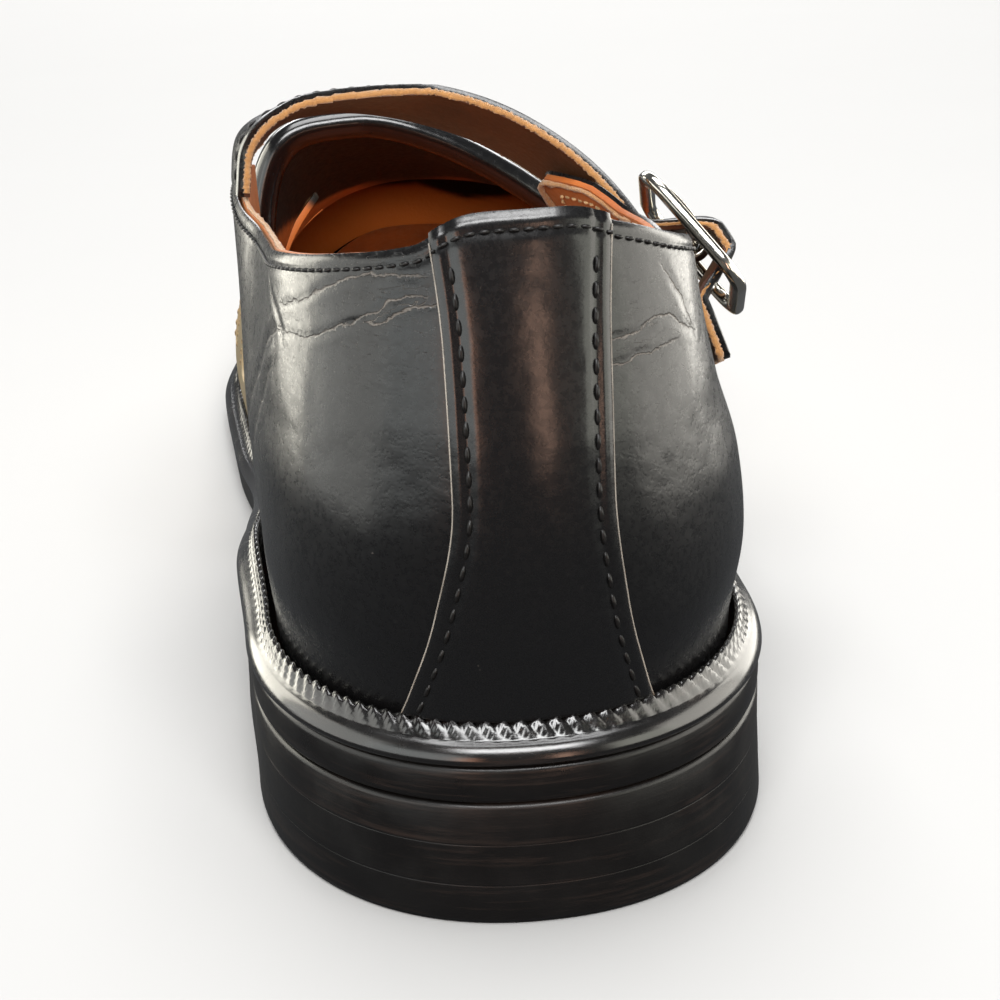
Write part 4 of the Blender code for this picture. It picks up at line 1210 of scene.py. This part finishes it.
class SANDAL_OT_vamp(bpy.types.Operator):
    """Vamp: cream leather with side slots and a middle strap, dark lining, rolled black throat and seams"""
    bl_idname = "sandal.vamp"
    bl_label = "Vamp"

    def execute(self, context):
        back = THROAT + THROAT_ROLL * 0.55
        cream = material("cream", cream_calf)
        points, faces = vamp_sheet(back, lambda row: STRIP_OUT - VAMP_SKIVE * (1 - smoothstep(0.2, 1.1, row)))
        piece("vamp_leather", points, faces, cream, "cream_leather", ["vamp"], OVERLAY, sizes().edge_round,
              merge=True)
        points, faces = vamp_sheet(back, np.zeros_like)
        # Dark part by the throat: partly a black facing, partly painted shade under the vamp's roof
        inner = material("shade lining", bare_leather, "Vamp lining, dark facing over tan",
                         colours().shade_lining, "#0F0906", 0.55, 1.1, 0.0, colours().toe_lining)
        piece("vamp_lining", points, faces, inner, "black_leather", ["upper"], WALL * 0.55, SMALL_ROUND,
              {"deep": below_facing_and_shade(points)}, merge=True)
        self.make_middle(back, cream)
        self.make_throat()
        self.make_seams(back)
        return {"FINISHED"}

    def make_middle(self, back, cream):
        """Strap down the middle, with rounded corners at its front end and a seam along each side."""
        size = sizes()
        rows = np.linspace(SPINE_ROW + 1, TOP_ROW, 16)[:, None]
        edge = (TOP_ROW - rows) / (TOP_ROW - SPINE_ROW - 1)
        end = SLOTS[-1][1] + CENTRE_PAST - CENTRE_ROUND * edge ** 5
        y = back + (end - back) * np.linspace(0, 1, 84)
        columns = np.where(y < TOE_START, column_at(y), 2 + (y - TOE_START) * TOE_COLUMNS)
        top = STRIP_OUT + GAP + OVERLAY
        piece("centre_strap_leather", *both_sides(columns, rows, top), cream, "cream_leather",
              ["centre_strap"], OVERLAY, size.edge_round, merge=True)
        seams = []
        for w in (columns[2], -columns[2]):
            seams.append(stitches(*laid(w, row_share(w, rows[2]), top), size.fine_pitch, size.thread * 0.85))
        piece("centre_strap_stitches", *join(seams), pale_thread(), "cream_leather")

    def make_throat(self):
        """Rolled edge round the back of the vamp, from the low band over the crest to the other side."""
        half = np.linspace(BAND_ROW - 0.9, TOP_ROW, 110)
        column = column_at(THROAT)
        w = np.concatenate([np.full(half.shape, -column), np.full(len(half) - 1, column)])
        s = row_share(w, np.concatenate([half, half[-2::-1]]))
        centres, outs = laid(w, s)
        ahead = unit(last_point(np.sign(w) * (np.abs(w) + 0.004), s) - centres)
        gloss = material("binding", black_calf, "Glove calf, black, rolled edge", 0.20, 0.6, 0.1)
        bar = sweep(centres, ahead, outs, THROAT_SECTION)
        piece("throat_binding", *bar, gloss, "black_leather", ["upper"])

    def make_seams(self, back):
        """Stitches beside the throat and along both long sides of each slot."""
        size = sizes()
        beside = np.linspace(BAND_ROW + 0.10, SPINE_ROW - 0.10, 60)
        lines = [(back + THROAT_SEAM, np.linspace(BAND_ROW - 1, SPINE_ROW + 0.9, 90))]
        for start_y, end_y in SLOTS:
            lines += [(start_y - SLOT_SEAM, beside), (end_y + SLOT_SEAM, beside)]
        seams = []
        for y, rows in lines:
            for side in (1, -1):
                w = np.full(rows.shape, column_at(y, side))
                path = laid(w, row_share(w, rows), STRIP_OUT)
                seams.append(stitches(*path, size.fine_pitch, size.thread * 0.85))
        piece("vamp_stitches", *join(seams), pale_thread(), "cream_leather")


# Instep strap

STRAP_EASE = 0.018      # how far along the strap its course is evened out
STRAP_LEATHER = 0.0012
STRAP_LINING = 0.00115
LINING_SPREAD = 0.985   # width of the lining against the leather's
STRAP_SEAM = 0.0018     # from its edge to its stitches
STRAP_ROLL = 0.00022
STRAP_PULL = 0.00014    # groove under its stitches
TIP_ROUND = 0.022
TIP_FROM = 0.45
FRAYED = 0.99           # line of the torn fibres, as a share of the half width


def strap_frame(order, across, rise):
    """Points of the strap above its inner face, eased into one arch up to the buckle, and outs there."""
    order, across, rise = np.broadcast_arrays(*(np.asarray(value, float) for value in (order, across, rise)))
    ease = STRAP_EASE * smoothstep(0.0, 0.12, order) * (1 - smoothstep(0.58, 0.68, order))
    spots = outs = total = 0.0
    for step in np.linspace(-2, 2, 9):
        spot, out = strap_face(np.clip(order + step * ease, 0, 1), across)
        weight = bell(step, 1.41)
        spots, outs, total = spots + spot * weight, outs + out * weight, total + weight
    outs = unit(outs)
    return spots / total + outs * rise[..., None], outs


def strap_face(order, across):
    """Points of the instep strap's inner face on the last, and the upper's outward directions there."""
    across = across * (1 + np.where(across > 0, STRAP_FLARE * bell(order - FLARE_AT, FLARE_LONG), 0.0))
    before, after = np.maximum(order - 0.01, 0.0), np.minimum(order + 0.01, 1.0)
    run = (along(INSTEP_STRAP, "girth", after) - along(INSTEP_STRAP, "girth", before)) * HALF_GIRTH
    drift = along(INSTEP_STRAP, "place", after) - along(INSTEP_STRAP, "place", before)
    sideways = across * along(INSTEP_STRAP, "half", order) / np.hypot(run, drift)
    place = along(INSTEP_STRAP, "place", order) + sideways * run
    girth = along(INSTEP_STRAP, "girth", order) - sideways * drift / HALF_GIRTH
    inner = column_at(place, -1)
    seam = share_at(inner, sided(TOPLINE, place, inner)) - 1 + SEAM_GAP
    foot = seam + (along(INSTEP_STRAP, "girth", SEAM_END) - seam) * order / SEAM_END
    girth = np.where(order < SEAM_END, foot, girth)
    rise = along(INSTEP_STRAP, "rise", order) + along(INSTEP_STRAP, "lift", order) * (1 + across) / 2
    return laid(column_at(place, np.where(girth < 0, -1, 1)), 1 - np.abs(girth), rise)


def strap_tip(across):
    """Share of the strap's length that each line along it reaches, so that the free end is rounded."""
    return 1 - TIP_ROUND * np.clip((np.abs(across) - TIP_FROM) / (1 - TIP_FROM), 0, 1) ** 2.2


class SANDAL_OT_instep_strap(bpy.types.Operator):
    """Instep strap: polished leather over a bare tan lining, with torn edges, stitches and a prong hole"""
    bl_idname = "sandal.instep_strap"
    bl_label = "Instep strap"

    def execute(self, context):
        orders = np.linspace(0, 1, 190)[:, None]
        hole = PRONG_HOLE / STRAP_HALF
        across = np.concatenate([np.linspace(-1, -hole, 10), np.linspace(hole, 1, 10)])
        middle = (orders[:-1] + orders[1:]) / 2
        slit = (np.arange(19) == 9) & (middle > BAR_AT - 0.05) & (middle < BAR_AT + 0.025)
        faces = [face[::-1] for face in grid_faces(len(orders), len(across), keep=~slit)]
        margin = (1 - np.abs(across)) * STRAP_HALF
        relief = STRAP_ROLL * bell(margin, GROOVE_WIDTH) + STRAP_PULL * bell(margin - STRAP_SEAM, 0.0005)
        # Its tone is the tan lining darkened as painted shade under the strap
        under = material("strap lining", bare_leather, "Strap lining, bare calf", colours().strap_lining,
                         "#241008", 0.6, 1.1, 0.05)
        for name, out, thick, spread, leather, slot in (
            ("instep_strap_leather", STRAP_THICK - relief, STRAP_LEATHER, 1.0, calf(), "black_leather"),
            ("instep_strap_lining", STRAP_LINING, STRAP_LINING, LINING_SPREAD, under, "tan_leather"),
        ):
            spots, _ = strap_frame(orders * strap_tip(across), across * spread, out)
            piece(name, spots, faces, leather, slot, ["instep_strap"], thick, SMALL_ROUND)
        self.make_edges()
        self.make_seams()
        return {"FINISHED"}

    def make_edges(self):
        """Torn fibres along both edges of the lining and round the free end."""
        draw = np.random.default_rng(5)
        side, turn = np.linspace(0.015, 0.976, 380)[:-1], np.linspace(-FRAYED, FRAYED, 70)
        order = np.concatenate([side, strap_tip(turn) * 0.998, side[::-1]])
        across = np.concatenate([np.full(side.shape, -FRAYED), turn, np.full(side.shape, FRAYED)])
        spots, outs = strap_frame(order, across, 0.00060)
        ahead = unit(np.gradient(spots, axis=0))
        section = oval(0.00038, 0.00056, 8) * (1 + 0.20 * draw.normal(0, 1, (len(order), 8, 1)))
        edge = sweep(spots, np.cross(ahead, outs), outs, section)
        piece("instep_strap_edge", *edge, material("raw", torn_fibre), "tan_leather")

    def make_seams(self):
        size = sizes()
        order = np.linspace(0.03, BUCKLE_TOP - 0.03, 300)
        share = 1 - STRAP_SEAM / STRAP_HALF
        rows = []
        for across in (-share, share):
            path = strap_frame(order, across, STRAP_THICK - 0.00010)
            rows.append(stitches(*path, size.stitch_pitch * 0.9, size.thread * 0.9))
        piece("instep_strap_stitches", *join(rows), black_thread(), "black_leather")


# Buckle

BUCKLE_CORNER = 0.0046
PRONG_LIFT = 0.0009     # over the middle bar
PRONG_PAST = 0.0021     # reach of the prong past the frame's bar
PRONG_BOW = 0.0007
PRONG_DIP = 0.0003      # of its tip
CHAPE_RISE = 0.0017
CHAPE_THICK = 0.0013


def strap_spot(order, across, rise):
    spots, _ = strap_frame([order], [across], [rise])
    return spots[0]


def buckle_axes():
    """Middle of the buckle, its length, and its directions along the strap, across it and out of the shoe."""
    over = STRAP_THICK + BUCKLE_CLEAR + BUCKLE_BAR / 2
    top, low = strap_spot(BUCKLE_TOP, 0, over), strap_spot(BUCKLE_LOW, 0, over)
    down = unit(low - top)
    across = sum(strap_spot(bar, 1, 0) - strap_spot(bar, -1, 0) for bar in (BUCKLE_TOP, BUCKLE_LOW))
    out = unit(np.cross(down, across))
    return (top + low) / 2, float(np.linalg.norm(low - top)), down, np.cross(out, down), out


class SANDAL_OT_buckle(bpy.types.Operator):
    """Buckle: plated frame with its middle bar, a bent prong and the leather loop that holds the bar"""
    bl_idname = "sandal.buckle"
    bl_label = "Buckle"

    def execute(self, context):
        plate = material("nickel", nickel_plate)
        self.make_frame(plate)
        self.make_prong(plate)
        self.make_chape()
        return {"FINISHED"}

    def make_frame(self, plate):
        """Oblong of a flattened bar with round corners, and a round bar across its middle."""
        middle, long, down, across, out = buckle_axes()
        radius = BUCKLE_BAR / 2
        half_long, half_wide = long / 2, BUCKLE_WIDE / 2 - radius
        straight = np.array([half_long - BUCKLE_CORNER, half_wide - BUCKLE_CORNER])
        corners = []
        for quarter, signs in enumerate([(1, 1), (-1, 1), (-1, -1), (1, -1)]):
            angle = np.linspace(0, math.pi / 2, 13) + quarter * math.pi / 2
            corners.append(straight * signs + BUCKLE_CORNER * np.stack([np.cos(angle), np.sin(angle)], -1))
        flat = np.concatenate(corners)
        centres = middle + flat[:, :1] * down + flat[:, 1:] * across
        ahead = unit(np.roll(centres, -1, axis=0) - np.roll(centres, 1, axis=0))
        section = oval(1.0, 1.0, 20)
        section = np.sign(section) * np.abs(section) ** 0.72 * np.array([radius * 1.12, radius * 0.86])
        oblong = sweep(centres, np.cross(ahead, out), out, section, closed=True)
        bar = middle + across * half_wide * np.linspace(-1, 1, 15)[:, None]
        bar = sweep(bar, down, out, oval(radius * 0.9, radius * 0.9, 14))
        piece("buckle_frame_plated", *join([oblong, bar]), plate, "nickel", ["buckle_frame"])

    def make_prong(self, plate):
        """Tapered prong whose root is curled round the middle bar."""
        middle, long, down, across, out = buckle_axes()
        lift = BUCKLE_BAR / 2 + PRONG_LIFT
        t = np.linspace(0, 1, 40)[:, None]
        rise = lift + PRONG_BOW * np.sin(math.pi * t) - PRONG_DIP * t
        prong = middle - down * (long / 2 + PRONG_PAST) * t + out * rise
        curl = np.linspace(math.pi, 0.15, 14)[:, None]
        root = middle + down * np.sin(curl) * lift + out * np.cos(curl) * lift
        path = np.concatenate([root[:-1], prong])
        outs = unit(np.cross(unit(np.gradient(path, axis=0)), across))
        taper = np.interp(np.linspace(0, 1, len(path)), [0, 0.35, 0.9, 1], [1.25, 1.15, 0.85, 0.45])
        section = oval(0.0010, 0.0008, 12) * taper[:, None, None]
        piece("buckle_prong_plated", *sweep(path, across, outs, section), plate, "nickel", ["buckle_prong"])

    def make_chape(self):
        """Leather under the strap, from the middle bar down."""
        share = CHAPE_HALF / STRAP_HALF
        order = np.linspace(BAR_AT - 0.012, BAR_AT + 0.148, 40)[:, None]
        rise = CHAPE_RISE - along(INSTEP_STRAP, "rise", order)
        spots, _ = strap_frame(order, np.linspace(-share, share, 14), rise)
        faces = [face[::-1] for face in grid_faces(*spots.shape[:2])]
        piece("buckle_chape_leather", spots, faces, calf(), "black_leather", ["buckle_chape"], CHAPE_THICK,
              SMALL_ROUND)


# Sole

SOLE_STEP = 0.0022      # from one column of the meshes to the next
HEEL_STEP = 0.0016
WELT_STEP = 0.00062
INSIDE = LEDGE + WALL + INSOLE_PLAY   # the insole's edge inside the welt's
OUTSOLE_EDGE = [
    Level(0.0011, 0.0), Level(0.0008, 0.0002), Level(0.0006, 0.0006), Level(0.0005, 0.0020),
    Level(0.0006, OUTSOLE - 0.0008), Level(0.0008, OUTSOLE - 0.0003), Level(0.0012, OUTSOLE),
]
INSOLE_EDGE = [
    Level(INSIDE + 0.0008, 0.0), Level(INSIDE, 0.0006), Level(INSIDE, INSOLE - 0.0012),
    Level(INSIDE + 0.0005, INSOLE - 0.0004), Level(INSIDE + 0.0014, INSOLE),
]
HEEL_JOINTS = [0.0058, 0.0118]
HEEL_GROOVE = 0.00006
WELT_SECTION = [
    WeltRow(LEDGE + 0.0060, 0.0, 0.0), WeltRow(0.0010, 0.0, 0.0), WeltRow(0.0003, 0.0002, 0.0),
    WeltRow(0.0, 0.0006, 0.0), WeltRow(0.0001, 0.0011, 0.0), WeltRow(0.0004, 0.0018, 0.0),
    WeltRow(0.0009, 0.0024, 0.0), WeltRow(0.0014, 0.0028, 0.0), WeltRow(0.0019, 0.0030, 0.0),
    WeltRow(0.0020, 0.0032, 0.15), WeltRow(0.0023, 0.0039, 0.7), WeltRow(0.0027, 0.0047, 1.0),
    WeltRow(0.0031, 0.0053, 1.0), WeltRow(0.0035, 0.0055, 0.9), WeltRow(0.0038, 0.0052, 0.6),
    WeltRow(0.0040, 0.0042, 0.2), WeltRow(0.0041, WELT, 0.0), WeltRow(LEDGE + 0.0060, WELT, 0.0),
]
NOTCH_SLANT = 0.0018    # way across the ridge on which a notch moves on by one
NOTCH_FALL = 0.62       # share of a notch on its long slope


def sole_columns(step, breast=None):
    """Columns of one side from the heel's back to the toe's tip, or to the heel's breast."""
    end = 3.0 if breast is None else float(column_at(breast))
    w = np.linspace(0, end, 2400)
    x, y = rim(w)
    run = np.concatenate([[0], np.cumsum(np.hypot(np.diff(x), np.diff(y)))])
    return np.interp(np.linspace(0, run[-1], int(run[-1] / step) + 1), run, w)


def slab(columns, levels, height):
    """Closed slab across the sole, from levels with an inset, and heights that follow from y and a rise."""
    rings = []
    for level in levels:
        pair = []
        for side in (-1, 1):
            x, y = inset(side * columns, level.inset)
            pair.append(np.stack([x, y, height(y, level.rise)], -1))
        for end in (0, -1):
            if columns[end] in (0.0, 3.0):
                pair[0][end] = pair[1][end]
        rings.append(pair)
    count, per_ring = len(columns), 2 * len(columns)
    points = np.concatenate([side for pair in rings for side in pair])
    faces = []
    for k in (0, len(levels) - 1):
        for i in range(count - 1):
            a = k * per_ring + i
            faces.append((a, a + count, a + count + 1, a + 1))
    for k in range(len(levels) - 1):
        low, high = k * per_ring, (k + 1) * per_ring
        for offset in (0, count):
            faces += [(low + offset + i, low + offset + i + 1, high + offset + i + 1, high + offset + i)
                      for i in range(count - 1)]
        faces.append((low + count - 1, low + per_ring - 1, high + per_ring - 1, high + count - 1))
    return points, faces


class SANDAL_OT_sole(bpy.types.Operator):
    """Sole: welt with a notched ridge, inked outsole edge, stacked heel and tan insole"""
    bl_idname = "sandal.sole"
    bl_label = "Sole"

    def execute(self, context):
        columns = sole_columns(SOLE_STEP)
        ink = material("edge", inked_edge, "Sole leather, inked and waxed edge", 0.34, 0.9, 0.0)
        layer = slab(columns, OUTSOLE_EDGE, lambda y, rise: underside(y) + rise)
        piece("outsole_leather", *layer, ink, "sole_leather", ["outsole"], merge=True)
        self.make_heel()
        self.make_welt()
        tan = material("insole", bare_leather, "Insole leather, rubbed", colours().insole, "#72300F", 0.5,
                       1.4)
        layer = slab(columns, INSOLE_EDGE, lambda y, rise: feather_height(y) + rise)
        piece("insole_leather", *layer, tan, "tan_leather", ["insole"], merge=True)
        return {"FINISHED"}

    def make_heel(self):
        """Stack of lifts with a fine groove at each joint, over a top piece."""
        columns = sole_columns(HEEL_STEP, HEEL_BREAST)
        top = float(underside(0.03)) - GAP
        levels = [Level(0.0014, 0.0), Level(0.0005, 0.0003), Level(0.0003, 0.0009)]
        for joint in HEEL_JOINTS:
            flare = 0.0003 + 0.0005 * joint / top
            for step in (-4, -1, 0, 1, 4):
                levels.append(Level(flare if step else flare + HEEL_GROOVE, joint + step * HEEL_GROOVE))
        levels += [Level(0.0006, top - 0.0006), Level(0.0008, top - 0.0002), Level(0.0011, top)]
        stack = slab(columns, levels, lambda y, rise: rise / top * (underside(y) - GAP))
        ink = material("heel", inked_edge, "Heel lifts, inked and waxed", 0.37, 1.3, 0.0)
        piece("heel_lifts", *stack, ink, "sole_leather", ["heel"], merge=True)

    def make_welt(self):
        """Strip with a rounded rim and a raised ridge whose slanted notches are pressed by a wheel."""
        size = sizes()
        half = sole_columns(WELT_STEP)
        loop = np.concatenate([-half[:0:-1], half[:-1]])
        x, y = rim(loop)
        steps = np.hypot(np.diff(x, append=x[:1]), np.diff(y, append=y[:1]))
        run = np.concatenate([[0], np.cumsum(steps)[:-1]])
        total = steps.sum()
        count = round(total / size.notch_pitch)
        lines = []
        for row in WELT_SECTION:
            x, y = inset(loop, row.inset)
            phase = (run / total * count + row.inset / NOTCH_SLANT) % 1.0
            fall, climb = 1 - phase / NOTCH_FALL, (phase - NOTCH_FALL) / (1 - NOTCH_FALL)
            cut = np.where(phase < NOTCH_FALL, fall, climb)
            z = welt_foot(y) + row.rise - size.notch_depth * row.notched * cut ** 1.4
            lines.append(np.stack([x, y, z], -1))
        points = np.stack(lines, axis=1)
        wax = material("welt", inked_edge, "Welt leather, inked and burnished", 0.20, 0.8, 1.0)
        piece("welt_leather", points, tube_faces(*points.shape[:2], True), wax, "sole_leather", ["welt"])


# Stage

CAMERA_PLACE = (-0.01923, -0.39574, 0.1581)
CAMERA_AIM = (-0.0030, -0.1173, 0.0475)
CAMERA_ROLL = math.radians(-2.4)
CAMERA_LENS = 77.5
CARDS = [
    Card("overhead", (0.0, 0.05, 1.30), (0.0, -0.04, 0.0), 0.95, 0.75, 15.0, "#FFFFFF", False),
    Card("overhead back", (0.0, -0.85, 1.05), (0.0, -0.15, 0.05), 0.90, 0.40, 14.0, "#FFFFFF", False),
    Card("inner back", (-0.21, -0.33, 0.100), (0.0, -0.12, 0.08), 0.24, 0.16, 0.24, "#EEF3F1", True),
    Card("inner", (-0.21, -0.13, 0.095), (0.0, -0.13, 0.08), 0.18, 0.17, 0.18, "#F4F4EE", True),
    Card("inner front", (-0.21, 0.08, 0.095), (0.0, 0.08, 0.08), 0.22, 0.17, 0.64, "#F8F4E6", True),
    Card("outer back", (0.235, -0.31, 0.100), (0.0, -0.12, 0.08), 0.17, 0.16, 0.20, "#F4F4E6", True),
    Card("outer", (0.21, -0.13, 0.095), (0.0, -0.13, 0.08), 0.18, 0.17, 0.28, "#FAF6EC", True),
    Card("outer front", (0.21, 0.08, 0.095), (0.0, 0.08, 0.08), 0.22, 0.17, 0.52, "#FAF6EC", True),
    Card("front", (0.10, 1.30, 0.62), (0.0, 0.05, 0.02), 1.60, 0.50, 14.0, "#FFFFFF", False),
    Card("brown strip", (-0.150, -0.50, 0.09), (0.0, -0.15, 0.07), 0.060, 0.16, 0.19, "#B98468", True),
    Card("brown strip by it", (0.107, -0.50, 0.09), (0.0, -0.15, 0.07), 0.035, 0.16, 0.20, "#B08C78", True),
]
UNLIT = ["stage_floor", "vamp_leather", "centre_strap_leather", "vamp_stitches", "centre_strap_stitches"]
INNER_LIGHT = Card(
    "into the shoe", (-0.02, -0.50, 0.215), (0.0, 0.10, 0.03), 0.12, 0.06, 1.9, "#FFF1E0", True
)


def add_light(card, unlit):
    """Area light of a card. A near one leaves the objects of the unlit collection as they are."""
    lamp = bpy.data.lights.new("card_" + card.name, "AREA")
    lamp.shape = "RECTANGLE"
    lamp.size, lamp.size_y = card.wide, card.high
    lamp.energy = card.power
    lamp.color = linear(card.tint, alpha=False)
    obj = bpy.data.objects.new("card_" + card.name, lamp)
    obj.location = card.place
    obj.rotation_euler = (Vector(card.aim) - Vector(card.place)).to_track_quat("-Z", "Y").to_euler()
    obj.visible_camera = False
    if card.near:
        obj.light_linking.receiver_collection = unlit
    bpy.context.scene.collection.objects.link(obj)
    return obj


class SANDAL_OT_stage(bpy.types.Operator):
    """Stage: pale floor, soft light cards and the camera"""
    bl_idname = "sandal.stage"
    bl_label = "Stage"

    def execute(self, context):
        scene = context.scene
        mesh = bpy.data.meshes.new("stage_floor")
        bm = bmesh.new()
        bmesh.ops.create_grid(bm, x_segments=1, y_segments=1, size=4.0)
        bm.to_mesh(mesh)
        bm.free()
        floor = bpy.data.objects.new("stage_floor", mesh)
        scene.collection.objects.link(floor)
        made, node, place = start("Painted board, matt", Roughness=0.85)
        tone = colours().floor
        cloud = node("TexNoise", "Fac",
                     {"Vector": place, "Scale": per_metre(60.0), "Detail": 2.0, "Roughness": 0.55})
        shade = (*(c * 0.985 for c in tone[:3]), 1.0)
        tint = node("Mix", 2, {0: cloud, 6: tuple(tone), 7: shade}, data_type="RGBA")
        mesh.materials.append(wired(made, Base_Color=tint))
        floor.visible_glossy = False   # the black leather then mirrors the cards and a dark room

        world = scene.world or bpy.data.worlds.new("Studio")
        scene.world = world
        world.use_nodes = True
        sky = world.node_tree.nodes["Background"]
        sky.inputs["Color"].default_value = linear("#E9EDF2")
        sky.inputs["Strength"].default_value = 0.12
        unlit = bpy.data.collections.new("unlit_by_near_cards")
        for name in UNLIT:
            unlit.objects.link(bpy.data.objects[name])
        for entry in unlit.collection_objects:
            entry.light_linking.link_state = "EXCLUDE"
        for card in CARDS:
            add_light(card, unlit)
        add_light(INNER_LIGHT, unlit).visible_glossy = False   # it leaves no mark on the gloss

        lens = bpy.data.cameras.new("camera")
        lens.lens = CAMERA_LENS
        lens.sensor_width = 36
        lens.clip_start = 0.01
        camera = bpy.data.objects.new("camera", lens)
        turn = (Vector(CAMERA_AIM) - Vector(CAMERA_PLACE)).to_track_quat("-Z", "Y").to_matrix().to_4x4()
        camera.matrix_world = Matrix.Translation(CAMERA_PLACE) @ turn @ Matrix.Rotation(CAMERA_ROLL, 4, "Z")
        scene.collection.objects.link(camera)
        scene.camera = camera
        scene.view_settings.view_transform = "Standard"
        return {"FINISHED"}


class SANDAL_PT_panel(bpy.types.Panel):
    """Sizes, colours and pieces of the sandal"""
    bl_idname = "SANDAL_PT_panel"
    bl_label = "Fisherman Sandal"
    bl_space_type = "VIEW_3D"
    bl_region_type = "UI"
    bl_category = "Sandal"

    def draw(self, context):
        for group in (context.scene.sandal_sizes, context.scene.sandal_colours):
            for key in group.__annotations__:
                self.layout.prop(group, key)
        for operator in OPERATORS:
            self.layout.operator(operator.bl_idname)


OPERATORS = (
    SANDAL_OT_quarters, SANDAL_OT_back_strip, SANDAL_OT_vamp, SANDAL_OT_instep_strap, SANDAL_OT_buckle,
    SANDAL_OT_sole, SANDAL_OT_stage,
)
CLASSES = (SandalSizes, SandalColours, *OPERATORS, SANDAL_PT_panel)


def register():
    for made in CLASSES:
        bpy.utils.register_class(made)
    bpy.types.Scene.sandal_sizes = bpy.props.PointerProperty(type=SandalSizes)
    bpy.types.Scene.sandal_colours = bpy.props.PointerProperty(type=SandalColours)


def unregister():
    del bpy.types.Scene.sandal_colours
    del bpy.types.Scene.sandal_sizes
    for made in reversed(CLASSES):
        bpy.utils.unregister_class(made)


def main():
    register()
    for operator in (
        bpy.ops.sandal.quarters, bpy.ops.sandal.back_strip, bpy.ops.sandal.vamp, bpy.ops.sandal.instep_strap,
        bpy.ops.sandal.buckle, bpy.ops.sandal.sole, bpy.ops.sandal.stage,
    ):
        operator()


if __name__ == "__main__":
    main()
